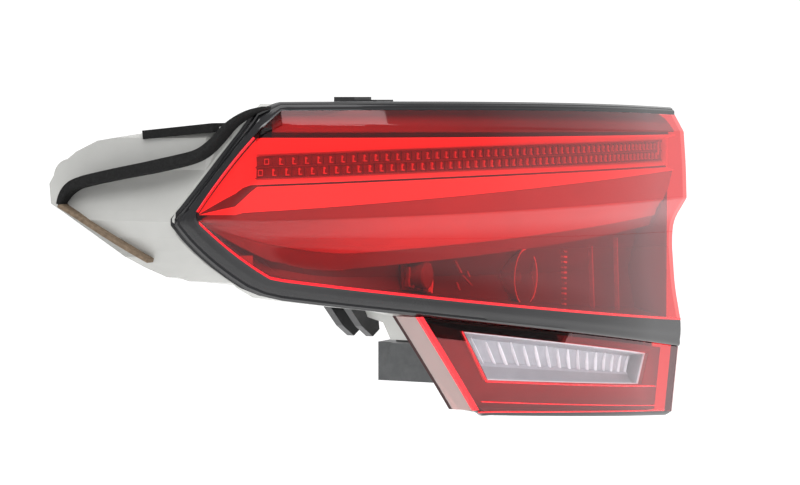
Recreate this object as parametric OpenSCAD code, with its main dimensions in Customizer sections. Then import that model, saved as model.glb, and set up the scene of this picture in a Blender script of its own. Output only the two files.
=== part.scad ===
// Left-hand rear combination lamp: wrap-round lens with a pointed outboard end,
// a pixel tail light strip, a turn signal chamber and a reversing light.
// +X runs inboard across the car, +Y runs forward, +Z is up.  Millimetres.
// The origin is the middle of the upper fixing bolt's bushing.

/* [Lens plan curve] */
// Straight length at the inboard end
flat_len = 60; // [55:1:65]
// Radius of the gentle rear curve
r_rear = 720; // [700:5:740]
// Angle at which the rear curve ends
a_rear = 15; // [14:0.5:16]
// Radius of the middle curve
r_mid = 420; // [410:5:430]
// Angle at which the middle curve ends
a_mid = 33; // [32:0.5:34]
// Radius round the car's corner
r_corner = 160; // [155:1:165]
// Angle of the straight side face
a_side = 60; // [59:0.5:61]
// Length along the curve to the pointed tip
tip_s = 508; // [504:1:512]

/* [Lens mouldings] */
// Wall thickness of the lens shots
lens_t = 2.8; // [2.4:0.1:3.2]
// Depth of the scoop under the ridge at the inboard end
scoop = 11.5; // [9:0.5:12]
// Depth of the lens's inboard end wall
end_wall = 26; // [24:1:28]

/* [Housing] */
// Wall thickness of the tub
wall = 2.6; // [2.2:0.1:3]
// Width of the flange behind the skirt
flange_w = 12; // [10:1:13]
// Depth of the skirt between lens and flange
skirt_d = 8; // [7:0.5:9]

/* [Fixings] */
// Bore of the bolt bushings
bolt_bore = 7; // [6.5:0.1:7.5]
// Outer diameter of the bushings
bush_d = 12; // [11:0.5:13]
// Length of the bushings
bush_len = 11; // [10:0.5:12]
// Height between the two bolts
bolt_gap = 130; // [128:1:132]
// Diameter of the locating pins
pin_d = 9; // [8:0.5:10]
// Free length of the locating pins
pin_len = 24; // [20:1:26]

/* [Lighting] */
// Light sources along the pixel strip
pixels = 28; // [24:1:30]
// Diameter of the turn signal bowl
bowl_d = 40; // [36:1:42]
// Opening for the turn signal bulb holder
signal_port = 30; // [28:1:32]
// Opening for the reversing bulb holder
reverse_port = 24; // [22:1:26]

/* [Hidden] */
$fn = 48;

// Upper bolt, measured from the lens's inboard end, at the height of the ridge
bolt = [10, 39, 35];
module row() { translate(-bolt) children(); }

// ---- the plan curve: a straight and three tangent arcs ----
S1 = flat_len;
S2 = S1 + r_rear*a_rear*PI/180;
S3 = S2 + r_mid*(a_mid - a_rear)*PI/180;
S4 = S3 + r_corner*(a_side - a_mid)*PI/180;
function arc(r, a, b) = [-r*(sin(b) - sin(a)), r*(cos(a) - cos(b))];
P1 = [-S1, 0];
P2 = P1 + arc(r_rear, 0, a_rear);
P3 = P2 + arc(r_mid, a_rear, a_mid);
P4 = P3 + arc(r_corner, a_mid, a_side);
// Heading of the curve at length s from the inboard end
function turn(s) = s <= S1 ? 0 : s <= S2 ? (s - S1)/r_rear*180/PI
    : s <= S3 ? a_rear + (s - S2)/r_mid*180/PI
    : s <= S4 ? a_mid + (s - S3)/r_corner*180/PI : a_side;
function plan(s) = s <= S1 ? [-s, 0] : s <= S2 ? P1 + arc(r_rear, 0, turn(s))
    : s <= S3 ? P2 + arc(r_mid, a_rear, turn(s))
    : s <= S4 ? P3 + arc(r_corner, a_mid, turn(s))
    : P4 + (s - S4)*[-cos(a_side), sin(a_side)];
// A point at length s and height z, set g inside the curve
function at(s, z, g) = let (p = plan(s), b = turn(s)) [p.x + g*sin(b), p.y + g*cos(b), z];

// ---- the lines that run along the lens, as heights over length ----
function z_top(s) = 70.5 - 4.5*pow((s - 350)/350, 2);
function z_shoulder(s) = 48.5 + 0.02*s;
function z_ridge(s) = -0.8 - 4.2*pow(s/tip_s, 2);
function z_inner(s) = -91.5 + 0.09*s + 0.000055*s*s;
function z_low(s) = -111.2 + 0.1306*s;
function z_bottom(s) = -164.4 + 0.098*s;
function mix(a, b, t) = a + (b - a)*t;
// Upper and lower edges of the clear face where it narrows to the tip
function arm_up(t) = [451.4 + 43*t, 55.7 - 54.5*t + 11*t*(1 - t)];
function arm_low(t) = [448 + 46*t, -39.6 + 36.4*t - 10*t*(1 - t)];
function z_arm(s) = s < 451.4 ? 200 : let (t = (s - 451.4)/43) arm_up(t)[1];
function z_armlow(s) = s < 448 ? -200 : let (t = (s - 448)/46) arm_low(t)[1];

// ---- solids from grids of points ----
function six(p, f) = [for (t = f) cross(p[t[0]], p[t[1]])*p[t[2]]];
function sum(v, i = 0, a = 0) = i >= len(v) ? a : sum(v, i + 1, a + v[i]);
function outward(p, f) = sum(six(p, f)) < 0 ? f : [for (t = f) [t[0], t[2], t[1]]];
// Sheet between two grids of columns, front and back
module sheet(front, back) {
    nc = len(front);
    nr = len(front[0]);
    n = nc*nr;
    p = concat([for (c = front) for (q = c) q], [for (c = back) for (q = c) q]);
    f = concat(
        [for (c = [0:nc-2]) for (r = [0:nr-2]) let (a = c*nr + r, b = a + nr)
            each [[a, a + 1, b + 1], [a, b + 1, b], [n + a, n + b + 1, n + a + 1], [n + a, n + b, n + b + 1]]],
        [for (c = [0:nc-2]) let (a = c*nr, b = a + nr) each [[a, b, n + b], [a, n + b, n + a]]],
        [for (c = [0:nc-2]) let (a = c*nr + nr - 1, b = a + nr) each [[b, a, n + a], [b, n + a, n + b]]],
        [for (r = [0:nr-2]) each [[r + 1, r, n + r], [r + 1, n + r, n + r + 1]]],
        [for (r = [0:nr-2]) let (a = (nc-1)*nr + r) each [[a, a + 1, n + a + 1], [a, n + a + 1, n + a]]]);
    polyhedron(points = p, faces = outward(p, f));
}
// Section carried round a closed loop, or along an open path with flat ends
module carry(rings, closed = false) {
    k = len(rings);
    m = len(rings[0]);
    p = [for (r = rings) for (q = r) q];
    e = closed ? k - 1 : k - 2;
    f = concat(
        [for (i = [0:e]) for (j = [0:m-1]) let (a = i*m + j, b = i*m + (j + 1)%m,
            c = ((i + 1)%k)*m + j, d = ((i + 1)%k)*m + (j + 1)%m) each [[a, b, d], [a, d, c]]],
        closed ? [] : [for (j = [1:m-2]) [0, j + 1, j]],
        closed ? [] : [for (j = [1:m-2]) let (o = (k-1)*m) [o, o + j, o + j + 1]]);
    polyhedron(points = p, faces = outward(p, f));
}
// Prisms along each axis from outlines in [x, z], [x, y] and [y, z]
module y_prism(o, y0, y1) translate([0, y1, 0]) rotate([90, 0, 0]) linear_extrude(y1 - y0) polygon(o);
module z_prism(o, z0, z1) translate([0, 0, z0]) linear_extrude(z1 - z0) polygon(o);
module x_prism(o, x0, x1) translate([x0, 0, 0]) rotate([90, 0, 90]) linear_extrude(x1 - x0) polygon(o);
module along_y(d, y0, y1, x, z) translate([x, y1, z]) rotate([90, 0, 0]) cylinder(d = d, h = y1 - y0);

// ---- lens ----
cols = concat([for (i = [0:12]) i*30], [for (i = [1:5]) 360 + i*16]);
// One column of the clear face: length, height and set-back of each row
function face_g(s) = 1 - 0.75*min(s, 495)/495;
function face_col(s) = let (r = z_ridge(s), l = z_inner(s), f = scoop*face_g(s)) [
    [s, z_top(s) - 5, 9.8], [s, z_shoulder(s), 2.6], [s, mix(z_shoulder(s), r, 0.5), 0.8], [s, r, 0],
    [s, mix(r, l, 0.19), 0.91*f], [s, mix(r, l, 0.37), f], [s, mix(r, l, 0.73), 0.78*f],
    [s, l, 4.4 - 1.9*s/495]];
function arm_col(t) = let (a = arm_up(t), b = arm_low(t), s = mix(451, 493.5, t), r = z_ridge(s) + 1.5*t, f = scoop*face_g(s))
    [for (q = [[a, 2.8], [mix(a, [s, r], 0.07), 1.8], [mix(a, [s, r], 0.5), 0.7], [[s, r], 0],
        [mix([s, r], b, 0.19), 0.6*f*(1 - t) + 1.2*t], [mix([s, r], b, 0.37), 0.8*f*(1 - t) + 1.8*t],
        [mix([s, r], b, 0.73), 0.7*f*(1 - t) + 2.2*t], [b, 2.5]]) [q[0][0], q[0][1], q[1]]];
function face_grid(d) = concat(
    [for (s = cols) [for (q = face_col(s)) at(q[0], q[1], q[2] + d)]],
    [for (i = [0:6]) [for (q = arm_col(i/6)) at(q[0], q[1], q[2] + d)]]);
// Reversing section: the left end slants
function rev_left(v) = 341 - 55*v;
function rev_z(s, v) = mix(z_low(s) - 1.2, z_bottom(s) + 3.4, v);
function rev_g(s, z) = 6 + 0.1*(z_low(s) - z);
function rev_grid(d, m = 0) = [for (j = [0:12]) [for (v = [0, 0.35, 0.7, 1])
    let (s = mix(m, rev_left(v) - m, j/12), z = rev_z(s, v)) at(s, z, rev_g(s, z) + d)]];
// Window outline, as corners in length and height, grown by e
function window(e = 0) = [for (q = [[301 + e, -79.6 + e], [60 - e, -112.2 + e], [68 - e, -134 - e], [275 + e, -113.4 - e]])
    let (p = at(q[0], q[1], 8)) [p.x, p.z]];

module outer_lens() {
    row() color("red", 0.75) {
        sheet(face_grid(0), face_grid(lens_t));
        // inboard end wall
        x_prism([[9.8, z_top(0) - 5], [2.6, z_shoulder(0)], [0, z_ridge(0)], [10.4, -18], [11.5, -34.4],
            [9, -67], [4.4, z_inner(0)], [7.3, z_inner(0) - 0.1], [10.2, z_inner(0) - 6], [10.2, z_low(0) - 0.8], [6.1, z_low(0) - 1.2],
            [10.9, z_bottom(0) + 3.4], [end_wall, z_bottom(0) + 3.4], [end_wall, z_top(0) - 5]], -lens_t, 0);
        difference() {
            sheet(rev_grid(0), rev_grid(lens_t));
            y_prism(window(), -5, 90);
        }
        // return wall on the reversing section's slanted end
        e = [for (v = [0, 0.35, 0.7, 1]) let (s = rev_left(v), z = rev_z(s, v)) at(s, z, rev_g(s, z))];
        sheet([for (y = [0, 6, 12, 18]) [for (q = e) q + [0, y, 0]]],
              [for (y = [0, 6, 12, 18]) [for (q = e) q + [lens_t, y + 1, 0]]]);
    }
}
module reverse_window() {
    row() color("whitesmoke", 0.5) intersection() {
        sheet(rev_grid(0.1), rev_grid(lens_t - 0.1));
        y_prism(window(-0.15), -5, 90);
    }
}
// Black shot round the outline.  Each station: inner edge, outer edge
function edge_in() = concat([for (s = cols) [s, z_top(s) - 5, 9.8]],
    [for (i = [0:6]) let (a = arm_up(i/6)) [a[0], a[1], 2.8]],
    [for (i = [6:-1:0]) let (a = arm_low(i/6)) [a[0], a[1], 2.5]],
    [for (i = [len(cols)-1:-1:0]) let (s = cols[i]) [s, z_inner(s), 4.4 - 1.9*s/495]]);
function edge_out() = concat([for (s = cols) [s, z_top(s), 12.6]],
    [for (q = [[456, 64.5], [461.5, 56], [471, 44], [481, 31], [491, 18], [500, 6.5], [507.4, -2.5]]) [q[0], q[1], 9]],
    [for (q = [[507.4, -6.5], [501, -15], [493, -23.5], [483.5, -32], [473.5, -39.6], [463, -46.6], [452, -51]]) [q[0], q[1], 7.5]],
    [for (i = [len(cols)-1:-1:0]) let (s = cols[i]) [s, z_low(s), 5 + 2.5*s/495]]);
function lip(s) = s > 365 ? 3.4 : 5;
function edge_ring(a, b) = let (m = mix(a, b, 0.4), k = mix(b, a, 0.22)) [
    at(a[0], a[1], a[2] + 0.05), at(m[0], m[1], min(a[2], b[2]) - 0.5 + 0.25*abs(b[2] - a[2])), at(b[0], b[1], b[2]),
    at(b[0], b[1], b[2]) + [0, lip(b[0]), 0], at(k[0], k[1], b[2]) + [0, lip(b[0]), 0], at(k[0], k[1], b[2] + 2.2),
    at(a[0], a[1], a[2] + lens_t - 0.05)];
// Rim of the reversing section: down the inboard edge and along the foot
rev_rim = concat([for (z = [-112, -125, -140, -152, -161]) [1.5, z]], [for (s = [12, 40, 80, 120, 160, 200, 240, 268]) [s, z_bottom(s) + 1.5]],
    [[279, -135], [286.5, -129.5]]);
module lens_frame() {
    i = edge_in();
    o = edge_out();
    row() color([0.1, 0.1, 0.11]) {
        carry([for (k = [0:len(i)-1]) edge_ring(i[k], o[k])]);
        carry([for (k = [4:len(rev_rim)-1]) let (q = rev_rim[k], g = rev_g(q[0], q[1]))
            [at(q[0], q[1] + 1.7, g + 0.1), at(q[0], q[1] - 1.2, g + 1.2), at(q[0], q[1] - 1.2, g + 4.7), at(q[0], q[1] + 1.7, g + 4.7)]]);
    }
}

// ---- optics behind the lens ----
function z_lip(s) = min(46.5 + 0.004*s, z_arm(s) - 3);
function z_st(s) = min(42.3 - 5*pow(s/455, 3), z_arm(s) - 5);
function z_sb(s) = min(26.6 - 5*pow(s/461, 3), z_arm(s) - 7);
function z_tl(s) = min(20 - 0.024*s - 0.000035*s*s, z_arm(s) - 9);
in_cols = concat([8], [for (i = [1:11]) 5 + i*31], [for (i = [0:4]) 376 + i*16], [455, 468, 480]);
function trough_col(s, d) = [for (q = [[z_lip(s), 6], [z_st(s), 17], [z_st(s), 26], [z_sb(s), 26], [z_sb(s), 17], [z_tl(s), 7.5]])
    at(s, q[0] + (q[1] == 26 ? (q[0] == z_st(s) ? d : -d)*0.5 : q[0] > 30 ? d*0.7 : -d*0.7), q[1] + d)];
module light_trough() {
    row() color([0.92, 0.9, 0.9])
        sheet([for (s = in_cols) trough_col(s, 0)], [for (s = in_cols) trough_col(s, 2)]);
}
// the dark moulding above the trough, behind the lens's bevel
up_cols = concat([8], [for (i = [1:11]) 5 + i*31], [for (i = [0:4]) 376 + i*16]);
function up_col(s, d) = let (a = z_lip(s) + 3.5, b = z_top(s) - 9)
    [at(s, a, 7.8 + d), at(s, mix(a, b, 0.45), 10.8 + d), at(s, b, 16.5 + d)];
module upper_bezel() {
    row() color([0.3, 0.12, 0.13])
        sheet([for (s = up_cols) up_col(s, 0)], [for (s = up_cols) up_col(s, 2)]);
}
strip_cols = concat([9], [for (i = [1:11]) 6 + i*31], [for (i = [0:4]) 376 + i*16]);
module band_solid(g0, g1, e) sheet([for (s = strip_cols) [at(s, z_st(s) - e, g0), at(s, z_sb(s) + e, g0)]],
    [for (s = strip_cols) [at(s, z_st(s) - e, g1), at(s, z_sb(s) + e, g1)]]);
module pixel_strip() { row() color("darkred") band_solid(16, 19.5, 0.6); }
module strip_board() { row() color("darkgreen") band_solid(22.4, 24, 1.5); }
module strip_leds() {
    row() color("khaki") for (i = [0:pixels-1]) let (s = 14 + i*416/(pixels - 1), p = at(s, mix(z_st(s), z_sb(s), 0.5), 22.3))
        translate([p.x, p.y, p.z]) rotate([0, 0, -turn(s)]) translate([-1.6, -1.5, -1.4]) cube([3.2, 1.5, 2.8]);
}
function z_c1(s) = -13 - 0.034*s;
function z_c2(s) = max(-21 - 0.04*s, z_inner(s) + 6);
function deep(s) = s < 380 ? 48 : max(26, 48 - (s - 380)*0.4);
bez_cols = concat([8], [for (i = [1:11]) 5 + i*31], [for (i = [0:4]) 376 + i*16], [452, 464, 474]);
function bez_col(s, d) = let (l = max(z_inner(s), z_armlow(s)), k = min(z_tl(s) - 3, z_arm(s) - 14)) [for (q = [
    [k, 10.5], [min(-7, mix(k, l, 0.3)), 18], [mix(k, l, s < 450 ? (k - z_c1(s))/(k - l) : 0.55), 22],
    [mix(k, l, s < 400 ? (k - z_c2(s))/(k - l) : 0.75), 27],
    [mix(k, l, s < 400 ? (k - z_c2(s) + 3)/(k - l) : 0.8), deep(s)],
    [mix(k, l, 0.93), deep(s)], [mix(k, l, 0.97), 10]]) at(s, q[0], q[1] + d)];
module lower_bezel() {
    row() color([0.25, 0.1, 0.12]) difference() {
        sheet([for (s = bez_cols) bez_col(s, 0)], [for (s = bez_cols) bez_col(s, 2.2)]);
        along_y(bowl_d + 1, 30, 90, -190, -50);
        along_y(26, 30, 120, -318, -43);
    }
}
module stop_light_guide() {
    row() color("mistyrose") {
        along_y(24, 72, 112, -318, -43);
        for (i = [0:4]) translate([-325 + i*3.4, 64, -52]) cube([1.8, 9, 18]);
    }
}
module signal_reflector() {
    row() color("gainsboro") translate([-190, 78, -50]) rotate([90, 0, 0]) rotate_extrude() polygon([
        [15.2, 0], [16.5, 0], [18, 10], [19.2, 20], [bowl_d/2, 30], [bowl_d/2 - 1.4, 30], [17.8, 20], [16.6, 10], [15.2, 2]]);
}
module signal_bulb() {
    row() color("orange") translate([-190, 92, -50]) rotate([90, 0, 0]) {
        cylinder(d = 14, h = 14);
        translate([0, 0, 14]) rotate_extrude() polygon([[0, 0], [6, 0], [9.5, 10], [10, 16], [8, 22], [4, 25.2], [0, 26]]);
    }
}
module signal_socket() {
    row() color([0.13, 0.13, 0.14]) difference() {
        union() {
            along_y(signal_port - 1, 98, 113, -190, -50);
            along_y(40, 112.7, 117, -190, -50);
            along_y(26, 117, 129, -190, -50);
            translate([-202, 117, -54]) cube([24, 9, 8]);
        }
        along_y(14.6, 80, 110, -190, -50);
        translate([-197, 119, -55]) cube([14, 20, 10]);
    }
}
module signal_socket_seal() {
    row() color("black") translate([-190, 112.9, -50]) rotate([90, 0, 0]) rotate_extrude() translate([16.4, 1.6]) circle(d = 2.6);
}
module reverse_bezel() {
    row() color([0.2, 0.08, 0.1]) difference() {
        sheet(rev_grid(5, 5), rev_grid(7, 5));
        y_prism(window(1.5), -5, 90);
    }
}
function rr(s, v, g) = at(s, mix(mix(-79.6, -112.2, (301 - s)/241), mix(-113.4, -134, (275 - s)/207), v), g);
module reverse_reflector() {
    row() color("whitesmoke") difference() {
        sheet([for (i = [0:12]) let (s = 56 + i*(i == 0 ? 0 : 18)) [rr(s, 0, 15.5), rr(s, 0.12, 34), rr(s, 0.88, 34), rr(s, 1, 15.5)]],
              [for (i = [0:12]) let (s = 56 + i*(i == 0 ? 0 : 18)) [rr(s, -0.06, 17), rr(s, 0.05, 36), rr(s, 0.95, 36), rr(s, 1.06, 17)]]);
        along_y(18, 20, 70, -160, -110);
    }
}
module reverse_bulb() {
    row() color("aliceblue") translate([-160, 80, -110]) rotate([90, 0, 0]) {
        cylinder(d = 12, h = 18);
        translate([0, 0, 18]) rotate_extrude() polygon([[0, 0], [5, 0], [6.2, 8], [6, 14], [4, 19], [0, 21]]);
    }
}
module reverse_socket() {
    row() color([0.13, 0.13, 0.14]) difference() {
        union() {
            along_y(reverse_port - 1, 84, 101, -160, -110);
            along_y(32, 100.5, 104, -160, -110);
            along_y(20, 104, 113.5, -160, -110);
            translate([-170, 104, -113]) cube([20, 7, 6]);
        }
        along_y(12.6, 60, 94, -160, -110);
        translate([-165.5, 105.5, -114]) cube([11, 20, 8]);
    }
}
module reverse_socket_seal() {
    row() color("black") translate([-160, 100.7, -110]) rotate([90, 0, 0]) rotate_extrude() translate([13.4, 1.5]) circle(d = 2.4);
}

// ---- housing ----
top_s = [30, 70, 110, 150, 190, 230, 270, 310, 345, 375, 400, 425, 442];
low_s = [442, 415, 385, 358];
foot_s = [262, 230, 190, 150, 110, 70, 30];
function xz(p) = [p.x, p.z];
// Outline of the skirt seen from behind the car
outline = concat([[-0.6, z_top(0) - 0.6]],
    [for (s = top_s) xz(at(s, z_top(s) - 0.6, 12.6))],
    [for (q = [[455, 64], [460.5, 56], [467, 48], [476, 37], [486, 24], [496, 11], [503, 2], [507, -4.5], [500.5, -15], [492.5, -23.3],
        [483, -31.6], [473, -39], [462.5, -46]]) xz(at(q[0], q[1], 8.5))],
    [for (s = low_s) xz(at(s, z_low(s) + 0.6, 7.5))],
    [for (v = [0, 0.35, 0.7, 1]) let (s = rev_left(v) - 4.6, z = rev_z(s, v)) xz(at(s, z, rev_g(s, z)))],
    [for (s = foot_s) xz(at(s, z_bottom(s) + 1, 18))],
    [[-0.6, z_bottom(0) + 1]]);
// Draw an outline in by d
function unit(v) = v/norm(v);
function shrink(o, d) = [for (i = [0:len(o)-1]) let (a = o[(i + len(o) - 1)%len(o)], p = o[i], b = o[(i + 1)%len(o)],
    u = unit(p - a), w = unit(b - p), m = [-u.y, u.x], n = [-w.y, w.x]) p + d*(m + n)/(1 + m*n)];
// Skirt seen from above: its front follows the lens, its back is the flange, and
// the pointed end runs forward to the apex.  d draws it in, o opens the front
function xy(p) = [p.x, p.y];
skirt_front = concat([[-0.6, 18]], [for (s = [30:24:390]) xy(at(s, 0, 18))],
    [for (q = [[412, 14], [430, 12], [448, 11.4], [466, 11.4], [486, 11.4], [507, 11.4]]) xy(at(q[0], 0, q[1]))], [[-446, 179.4]]);
skirt_back = concat([[-446, 272], [-416, 272], [-416, 152]],
    [for (s = [438, 424, 410, 396]) xy(at(s, 0, 18)) + [0, skirt_d]],
    [for (s = [380:-24:20]) xy(at(s, 0, 18)) + [0, skirt_d]],
    [[-13, 18 + skirt_d], [-13, end_wall + 8.4], [-0.6, end_wall + 8.4]]);
function open_front(o, n, y) = [for (i = [0:len(o)-1]) i < n ? o[i] - [0, y] : o[i]];
function skirt_plan(d, o) = open_front(shrink(concat(skirt_front, skirt_back), -d), len(skirt_front), o);
// The same from the side: the pointed end closes in on its apex
function skirt_side(d) = shrink([[-40, 90], [138, 90], [141, 61], [152, 54.5], [163, 46], [178, 37.5], [205, 31],
    [235, 25.5], [260, 17], [267, 9], [257, 0], [236, -14], [216, -27], [198, -38], [172, -47], [146, -54],
    [130, -66], [122, -80], [118, -180], [-40, -180]], -d);
module skirt(d, o) intersection() {
    y_prism(shrink(outline, d), -40, 300);
    z_prism(skirt_plan(d, o), -190, 100);
    x_prism(skirt_side(d), -450, 10);
}
// Tub: outlines in three directions, drawn in by d
tub_front = [for (s = [3:22:443]) xy(at(s, 0, 22))];
tub_back = [[-424, 166], [-424, 283], [-396, 283], [-376, 225], [-332, 160], [-262, 114], [-150, 98], [-3, 92]];
function tub_plan(d) = open_front(shrink(concat(tub_front, tub_back), -d), len(tub_front), d > 0 ? 20 : 0);
function tub_face(d) = shrink([[-3, 53], [-200, 56], [-400, 57], [-418, 55], [-424, 48], [-424, -28], [-414, -41],
    [-395, -44], [-333, -54], [-322, -60], [-303, -84], [-281, -118], [-268, -124], [-3, -149]], d);
function tub_side(d) = shrink([[-40, 60], [150, 60], [165, 55.5], [213, 51], [246, 46], [262, 39], [276, 29], [283, 18], [282, 5],
    [268, -3], [214, -35], [190, -46], [150, -54], [132, -62], [98, -74], [92, -170], [-40, -170]], -d);
module tub(d, y0 = 0) difference() {
    intersection() {
        z_prism(tub_plan(d), -180 , 90);
        y_prism(tub_face(d), y0, 300);
        x_prism(tub_side(d), -440, 10);
    }
    // lower outboard corner, set back under the connector
    translate([-340, 70 - d, -190]) cube([115 + d, 240, 104 + d]);
}
// Depth of the tub's back over x
function back(x) = lookup(x, [[-396, 283], [-376, 225], [-332, 160], [-262, 114], [-150, 98], [-3, 92]]);
module ear(z) {
    translate([-8, 36, z - 9]) cube([18, 5, 18]);
    along_y(20, 36, 42, 10, z);
    translate([-6, 41, z - 1.5]) cube([12, 14, 3]);
}
module housing() {
    row() color([0.62, 0.62, 0.6]) difference() {
        union() {
            difference() {
                union() { skirt(0, 0); tub(0); }
                skirt(wall, 60);
                tub(wall, -60);
                // way through to the pointed end
                translate([-420.5, 132, -26]) cube([17, 40, 50]);
                // room for the lens's end wall and for the reversing section
                translate([-3.3, -20, -190]) cube([10, 20 + end_wall + 0.4, 290]);
                intersection() {
                    y_prism([[-352, -66], [-352, -190], [10, -190], [10, -114], [-230, -81.5], [-334, -67.6]], -60, 120);
                    z_prism(concat([for (s = [0:24:370]) xy(at(s, 0, 22.4))], [[-400, 60], [-400, -60], [0, -60]]), -200, 0);
                }
            }
            for (z = [bolt.z, bolt.z - bolt_gap]) ear(z);
            // filled corner where the pointed end meets the tub
            x_prism([[139.3, 47.2], [156.2, 47.2], [156.2, 50.4], [151.5, 53.2], [141, 58.3], [139.3, 58.3]], -411.3, -403.2);
            x_prism([[149.3, 46.8], [158.1, 46.8], [158.1, 41.6], [167.7, 41.6], [166, 43.4], [163, 45.2], [152, 49.1], [149.3, 49.1]], -415.3, -403.9);
            // turrets for the bulb holders and the stop light guide
            along_y(38, 92, 110, -190, -50);
            along_y(31, 86, 98, -160, -110);
            // seats for the locating pins
            along_y(16, 222, 266, -380, 20);
            along_y(16, 128, 150, -300, -16);
            // end bosses on the outboard wall
            translate([-423.4, 240, 37]) rotate([0, 90, 0]) cylinder(r = 9, h = 18);
            translate([-423.4, 268, 22]) rotate([0, 90, 0]) cylinder(r = 12, h = 18);
            // stiffening ribs on the back
            for (x = [-112, -138, -236]) translate([x, back(x) - 1.5, -46]) cube([2.2, 7.5, 73]);
            for (q = [[30, -8], [-14, -92]]) z_prism(concat([for (x = [q[1], -100, -150, -205, -262]) [x, back(x) - 1.5]],
                [for (x = [-262, -205, -150, -100, q[1]]) [x, back(x) + 6]]), q[0], q[0] + 2.2);
            // bosses under the driver's cover and pads under the heat sink
            for (x = [-81, -15]) for (z = [-62.5, 4.5]) along_y(8, 90, 98.8, x, z);
            for (x = [-127, -60]) translate([x, 90, 37]) cube([8, 8.5, 12]);
            intersection() {
                for (z = [30, 8, -30]) z_prism([[-376, 222], [-396, 281], [-390, 285], [-368, 222], [-328, 166], [-262, 120], [-262, 112], [-330, 157]], z, z + 2.2);
                x_prism(tub_side(1.5), -440, 10);
            }
        }
        along_y(signal_port, 60, 130, -190, -50);
        along_y(reverse_port, 60, 130, -160, -110);
        for (z = [bolt.z, bolt.z - bolt_gap]) along_y(bush_d + 0.1, 20, 60, 10, z);
        along_y(pin_d - 3, 215, 280, -380, 20);
        along_y(pin_d - 3, 120, 160, -300, -16);
    }
}
// Foam seal on the flange, and round the edge of the pointed end
module body_gasket() {
    row() color([0.05, 0.05, 0.05]) {
        difference() {
            intersection() {
                y_prism(shrink(outline, 1.5), -40, 300);
                z_prism(gasket_plan(5), -190, 100);
                x_prism(skirt_side(-1.5), -450, 10);
            }
            y_prism(shrink(outline, 8.5), -60, 320);
            z_prism(gasket_plan(0), -200, 110);
            skirt(0, 0);
            tub(-0.2);
            translate([-450, 138, -70]) cube([43, 40, 118]);
            for (z = [bolt.z, bolt.z - bolt_gap]) translate([-9, 30, z - 10.2]) cube([20, 20, 20.4]);
        }
        difference() {
            union() {
                intersection() {
                    x_prism(skirt_side(-4), -443, -424.2);
                    translate([-450, 150, 9]) cube([40, 130, 60]);
                }
                intersection() {
                    x_prism(skirt_side(-1.5), -443, -424.2);
                    translate([-450, 199, -60]) cube([40, 81, 75]);
                }
            }
            x_prism(skirt_side(0), -460, -400);
            tub(-0.2);
        }
    }
}
function gasket_plan(e) = concat([[-0.6, end_wall + 8.4 + e], [-0.6, -20]], [[-448, -20], [-448, 272 + e], [-416, 272 + e], [-416, 152 + e]],
    [for (s = [438, 424, 410, 396]) xy(at(s, 0, 18)) + [0, skirt_d + e]],
    [for (s = [380:-24:20]) xy(at(s, 0, 18)) + [0, skirt_d + e]],
    [[-13 - e, 18 + skirt_d + e], [-13 - e, end_wall + 8.4 + e]]);
module foam_pad() {
    row() color([0.06, 0.06, 0.06]) difference() {
        translate([-426.2, 159.5, 52]) rotate([-5.5, 0, 0]) cube([34, 51.5, 5.6]);
        tub(-0.05);
    }
}
module top_clip() {
    row() color([0.12, 0.12, 0.12]) {
        translate([-338, 96, 57.1]) cube([24, 25, 2.5]);
        translate([-338, 117, 57.1]) cube([24, 3, 14.5]);
        translate([-338, 89, 70.6]) cube([24, 31, 1.6]);
        translate([-338, 105, 70.6]) cube([24, 15, 3.4]);
    }
}
module lower_clip() {
    row() color([0.08, 0.08, 0.08]) difference() {
        union() {
            for (y = [108, 122]) y_prism([[-352, -53], [-300, -60], [-296, -80], [-306, -84], [-322, -76]], y, y + 5);
            translate([-322, 112, -66]) cube([14, 11, 3]);
        }
        tub(-0.05);
    }
}
module locating_pins() {
    row() color("ivory") for (q = [[-380, 266, 20], [-300, 150, -16]]) {
        along_y(pin_d - 3.1, q[1] - 12, q[1], q[0], q[2]);
        along_y(12, q[1], q[1] + 2.5, q[0], q[2]);
        along_y(pin_d, q[1] + 2.5, q[1] + pin_len - 3, q[0], q[2]);
        translate([q[0], q[1] + pin_len - 3, q[2]]) rotate([-90, 0, 0]) rotate_extrude() polygon([[0, 0], [pin_d/2, 0], [pin_d/2 - 1, 2], [2, 4.5], [0, 4.8]]);
    }
}
module bolt_bushings() {
    row() color("silver") for (z = [bolt.z, bolt.z - bolt_gap]) difference() {
        along_y(bush_d, bolt.y - bush_len/2, bolt.y + bush_len/2, bolt.x, z);
        along_y(bolt_bore, 20, 60, bolt.x, z);
    }
}
module main_connector() {
    row() color([0.3, 0.31, 0.32]) difference() {
        union() {
            translate([-278, 70.1, -116]) cube([40, 47.9, 26]);
            translate([-284, 78, -104]) cube([8, 28.5, 14]);
            translate([-270, 86, -92]) cube([20, 22.5, 4]);
        }
        translate([-275, 100, -112]) cube([34, 30, 17]);
        tub(-0.05);
    }
}
module connector_terminals() {
    row() color("gold") for (i = [0:5]) for (z = [-107.5, -100.5]) translate([-270.5 + i*5, 100.1, z]) cube([1, 9.5, 1]);
}
module heat_sink() {
    row() color("silver") {
        translate([-130, 98.6, 34]) cube([80, 3, 18]);
        for (i = [0:8]) translate([-129 + i*9.6, 101.5, 34]) cube([1.6, 9, 18]);
    }
}
module driver_cover() {
    row() color([0.2, 0.2, 0.21]) {
        translate([-84, 98.8, -66]) cube([72, 3, 74]);
        translate([-78, 101.8, -60]) cube([60, 9, 62]);
    }
}
module cover_screws() {
    row() color("silver") for (x = [-81, -15]) for (z = [-62.5, 4.5]) difference() {
        union() { along_y(5.6, 101.8, 104, x, z); }
        along_y(2.6, 103, 110, x, z);
    }
}
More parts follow.
